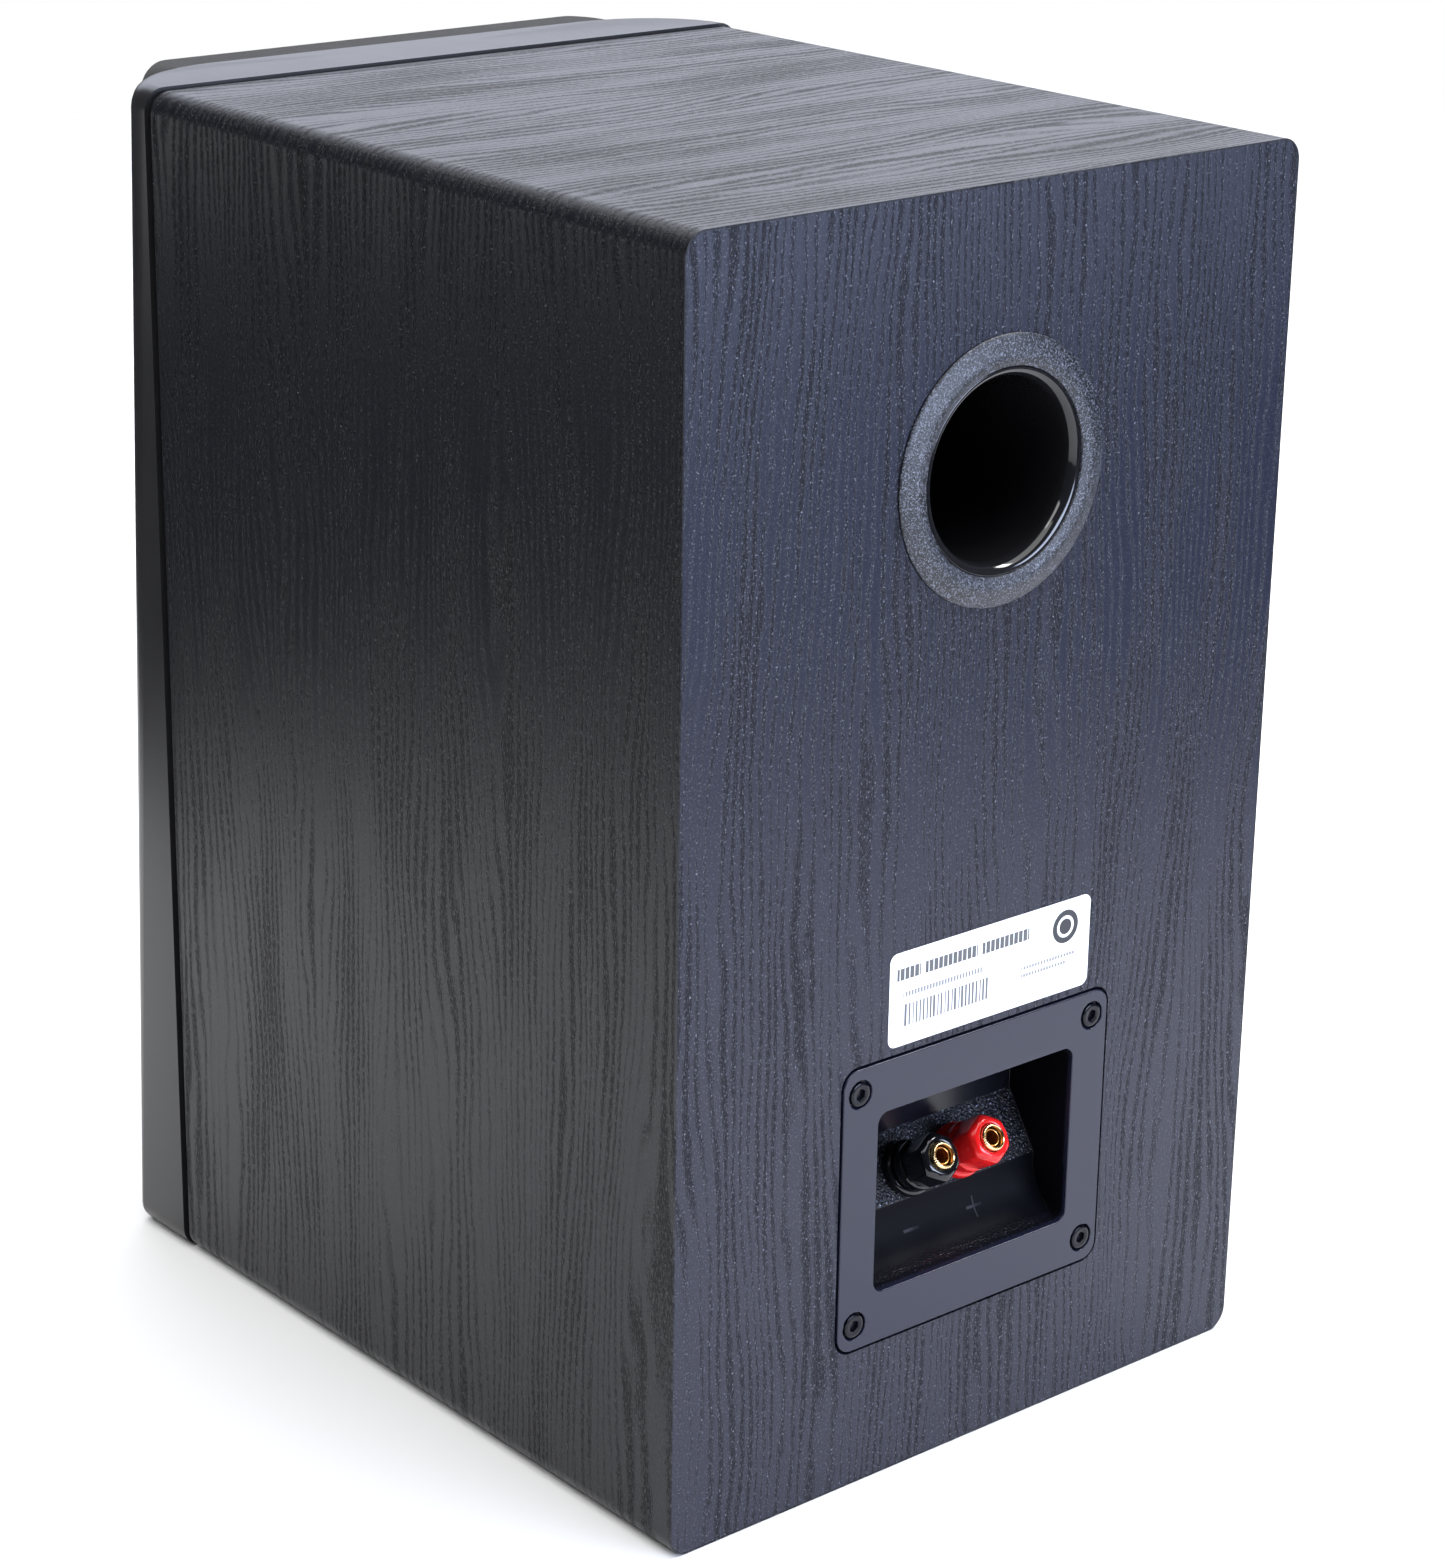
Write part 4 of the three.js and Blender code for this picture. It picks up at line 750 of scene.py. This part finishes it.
# %% Plate screws
screw_section = [
    (0, -13), (1.4, -13), (1.7, -12.4), (1.7, -1.75), (3.4, -1.7), (3.42, -0.5), (3.3, -0.2), (3.05, -0.04),
    (2.7, 0.0), (2.1, 0.0), (1.62, -0.12, "hex", 1.13), (1.5, -0.3, "hex", 1.15), (1.48, -1.25, "hex", 1.15),
    (0, -1.35),
]
for number in range(1, 5):
    low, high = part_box(f"terminal_screw_{number}")
    middle = ((low.x + high.x) / 2, high.y, (low.z + high.z) / 2)
    screw = turned(f"plate_screw_{number}", screw_section, middle, (0, 1, 0), black_steel, "cabinet", 72)
    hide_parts(f"terminal_screw_{number}")
print("screw heads at y", round(high.y, 5))

# %% [markdown]
# A paper label sits above the terminals. The real one names the product; this one keeps only the rhythm
# of such a label: a line of dark blocks, a smaller line, a bar pattern and a plain ring mark. The print
# is worked out in the shader, from the distance to the label's left and lower edges.

# %% Label
# All in millimetres. The print is measured from the label's left and lower edges.
LABEL_LEFT, LABEL_RIGHT, LABEL_LOW, LABEL_HIGH, LABEL_CORNER = 34, -41, 128.3, 155.4, 2.5
TITLE_ROW, TITLE_WORDS = (19.0, 22.4), ((2.6, 11.2), (12.9, 32.2), (33.9, 51.6))
SMALL_PRINT = ((5, 34, 13.9, 15.4), (49, 70, 10.4, 11.4), (49, 66, 8.2, 9.2))
BAR_FIELD, BAR_PITCH = (5, 37, 5.4, 11.8), 1.3
MARK_U, MARK_V = 65.5, 19.4


def label_material():
    shade = Shade("label_paper")
    u, v = LABEL_LEFT - shade.x, shade.z - LABEL_LOW

    def block(left, right_edge, low, high):
        return u.above(left) * (1 - u.above(right_edge)) * v.above(low) * (1 - v.above(high))

    def dashes(pitch, gap):
        return (u / pitch).maths("FRACT").above(gap)

    title = sum(block(left, right_edge, *TITLE_ROW) for left, right_edge in TITLE_WORDS) * dashes(1.75, 0.17)
    small = sum(block(*line) for line in SMALL_PRINT) * dashes(1.1, 0.3) * 0.8
    chance = shade.node("TexWhiteNoise", {"noise_dimensions": "1D"}, {"W": (u / BAR_PITCH).floor()})
    bars = block(*BAR_FIELD) * dashes(BAR_PITCH, 0.3 + chance * 0.4) * 0.9
    away = ((u - MARK_U) * (u - MARK_U) + (v - MARK_V) * (v - MARK_V)).maths("SQRT")
    mark = (1 - away.above(4.9)) * (1 - away.above(2.3) * (1 - away.above(3.2)))
    ink = (title * 0.93 + small + bars + mark).least(1)
    fibre = shade.noise(shade.vector(shade.x / 0.4, 0, shade.z / 0.4), detail=3)
    paper = shade.mix((0.80, 0.81, 0.83), (0.88, 0.89, 0.9), fibre)
    tone = shade.mix(paper, (0.02, 0.021, 0.025), ink)
    return shade.surface(base_color=tone, roughness=0.42 + ink * 0.1, normal=shade.bump(fibre, 0.01))


def rounded_outline(left, right_edge, low, high, radius, steps=6):
    corners = ((right_edge - radius, high - radius, 0), (left + radius, high - radius, 90),
               (left + radius, low + radius, 180), (right_edge - radius, low + radius, 270))
    outline = []
    for x, z, start in corners:
        outline += arc((x, z), (radius, radius), start, start + 90, steps)
    return outline


def plate_between(name, outline, y_low, y_high, material, body):
    """A flat plate with an outline in x and z, in millimetres, between two depths."""
    count = len(outline)
    points = [(x * MM, y, z * MM) for y in (y_low, y_high) for x, z in outline]
    faces = [tuple(range(count)), tuple(range(count, 2 * count))]
    faces += [(i, (i + 1) % count, count + (i + 1) % count, count + i) for i in range(count)]
    return finish_mesh(mesh_object(name, points, faces), material, body, 40)


label_outline = rounded_outline(LABEL_RIGHT, LABEL_LEFT, LABEL_LOW, LABEL_HIGH, LABEL_CORNER)
paper_back, paper_front = rear_y + 0.02 * MM, rear_y + 0.16 * MM
label = plate_between("label", label_outline, paper_back, paper_front, label_material(), "cabinet")
print("label", [round(v / MM, 2) for v in label.dimensions])

# %% [markdown]
# The polarity marks under the posts are raised bars on the curved panel below the ledge. Plus and minus
# are generic marks, so they stay. The panel is a quarter of an ellipse, so each bar is laid on it point
# by point.

# %% Polarity marks
PANEL_DEPTH, PANEL_FALL, PANEL_TOP = 13.3, 14.33, 71.03
BAR_SECTION = (0, 2, 4, 5, 3, 1)  # the six points of a bar's section, walked round its rim


def on_panel(x, drop, proud):
    """A point on the hollow panel, drop millimetres below its top and proud millimetres in front of it."""
    angle = math.asin(max(-1.0, min(1.0, drop / PANEL_FALL)))
    deep = PANEL_DEPTH * math.cos(angle)
    slope = Vector((0, math.cos(angle) / PANEL_DEPTH, math.sin(angle) / PANEL_FALL)).normalized()
    spot = Vector((x, rear_y / MM - deep, PANEL_TOP - drop)) + slope * proud
    return spot * MM


def raised_bar(name, x_span, drop_span):
    steps, row = 10, len(BAR_SECTION)
    points, faces = [], []
    for i in range(steps + 1):
        for proud, inset in ((-0.3, 0), (0.1, 0), (0.18, 0.12)):
            t = i / steps
            drop = drop_span[0] + (drop_span[1] - drop_span[0]) * t
            points += [on_panel(x_span[0] + inset, drop, proud), on_panel(x_span[1] - inset, drop, proud)]
    for i in range(steps):
        low, high = i * row, i * row + row
        for a, b in zip(BAR_SECTION, BAR_SECTION[1:] + BAR_SECTION[:1]):
            faces.append((low + a, low + b, high + b, high + a))
    faces += [BAR_SECTION, tuple(steps * row + k for k in BAR_SECTION)]
    bar = finish_mesh(mesh_object(name, points, faces), cup_satin, "cabinet", 40)
    return bar


cup_satin = moulded("cup_satin", (0.003, 0.0034, 0.006), 0.5, grain=0.3, depth=0.012, specular_ior_level=0.22)
raised_bar("minus_mark", (9.0, 15.0), (6.6, 7.4))
raised_bar("plus_mark_across", (-15.0, -9.0), (6.6, 7.4))
raised_bar("plus_mark_down", (-12.4, -11.6), (4.2, 9.8))
print("marks", [round(v, 4) for v in on_panel(-12, 7, 0)])

# %% [markdown]
# The grille is cloth stretched over a frame: tight and flat in front, turned over a rounded edge at the
# sides and over a sharper one above and below. It is lofted from rounded rectangles that step in towards
# the front. The weave is in the material, since a knit this fine has far too many loops to model.

# %% Grille cloth
cloth_low, cloth_high = (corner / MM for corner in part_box("grille_cloth"))
SIDE_ROUND, EDGE_ROUND, CLOTH_CORNER, CLOTH_DEEP = 14, 1.6, 9, 17.5
BEND_STEPS = 12


def grille_outline(inset, end_inset):
    radius = max(CLOTH_CORNER - max(inset, end_inset) * 0.4, 3)
    left, right_edge = cloth_low.x + inset, cloth_high.x - inset
    return rounded_outline(left, right_edge, cloth_low.z + end_inset, cloth_high.z - end_inset, radius, 8)


def cloth_shell():
    stations = [(cloth_high.y, 0, 0)]
    for i in range(BEND_STEPS + 1):
        turn = math.radians(i * 90 / BEND_STEPS)
        y = cloth_low.y + SIDE_ROUND * (1 - math.sin(turn))
        away = max(0.0, y - cloth_low.y)
        end = EDGE_ROUND * (1 - math.sqrt(max(0.0, 1 - max(0.0, 1 - away / EDGE_ROUND) ** 2)))
        stations.append((y, SIDE_ROUND * (1 - math.cos(turn)), end))
    rings = [[(x * MM, y * MM, z * MM) for x, z in grille_outline(inset, end)] for y, inset, end in stations]
    count = len(rings[0])
    points = [p for ring in rings for p in ring]
    faces = []
    for r in range(len(rings) - 1):
        for i in range(count):
            j = (i + 1) % count
            faces.append((r * count + i, r * count + j, (r + 1) * count + j, (r + 1) * count + i))
    faces.append(tuple((len(rings) - 1) * count + i for i in range(count)))
    return finish_mesh(mesh_object("grille_knit", points, faces), acoustic_cloth, "grille", 60)


grille_knit = cloth_shell()
thick = grille_knit.modifiers.new("thickness", "SOLIDIFY")
thick.thickness, thick.offset = 0.5 * MM, -1
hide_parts("grille_cloth")

# %% [markdown]
# Inside, a pad of polyester wadding lies against each side board. A pad is cut square and swells where
# nothing holds it, so it starts as a fine box that is pushed out in the middle and pinched along its
# edges, with tufts from layered noise.

# %% Damping pads
PAD_CUTS = 23


def wadding_pad(node_name):
    low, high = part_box(node_name)
    size, middle = high - low, (low + high) / 2
    mesh = bmesh.new()
    bmesh.ops.create_cube(mesh, size=2)
    bmesh.ops.subdivide_edges(mesh, edges=mesh.edges, cuts=PAD_CUTS, use_grid_fill=True)
    for point in mesh.verts:
        place = point.co.copy()
        sides = Vector([math.copysign(abs(place[i]) ** 0.9, place[i]) for i in range(3)])
        edge = max(abs(place.y), abs(place.z))
        plump = 1 - 0.45 * edge ** 6
        tuft = 1 - 0.09 * (0.5 + 0.5 * noise.noise(place * 3.1)) - 0.05 * abs(noise.noise(place * 11))
        sides.x *= plump * tuft
        sides.y *= 1 - 0.06 * abs(place.z) ** 8 - 0.015 * abs(noise.noise(place * 7))
        sides.z *= 1 - 0.04 * abs(place.y) ** 8 - 0.01 * abs(noise.noise(place * 9))
        point.co = middle + Vector([sides[i] * size[i] / 2 for i in range(3)])
    data = bpy.data.meshes.new(node_name)
    mesh.to_mesh(data)
    mesh.free()
    pad = bpy.data.objects.new(node_name.replace("damping_pad", "wadding"), data)
    scene.collection.objects.link(pad)
    finish_mesh(pad, wadding, "cabinet", 80)
    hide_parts(node_name)
    return pad


for node_name in ("damping_pad_left", "damping_pad_right"):
    pad = wadding_pad(node_name)
print("wadding", [round(v, 3) for v in pad.dimensions])
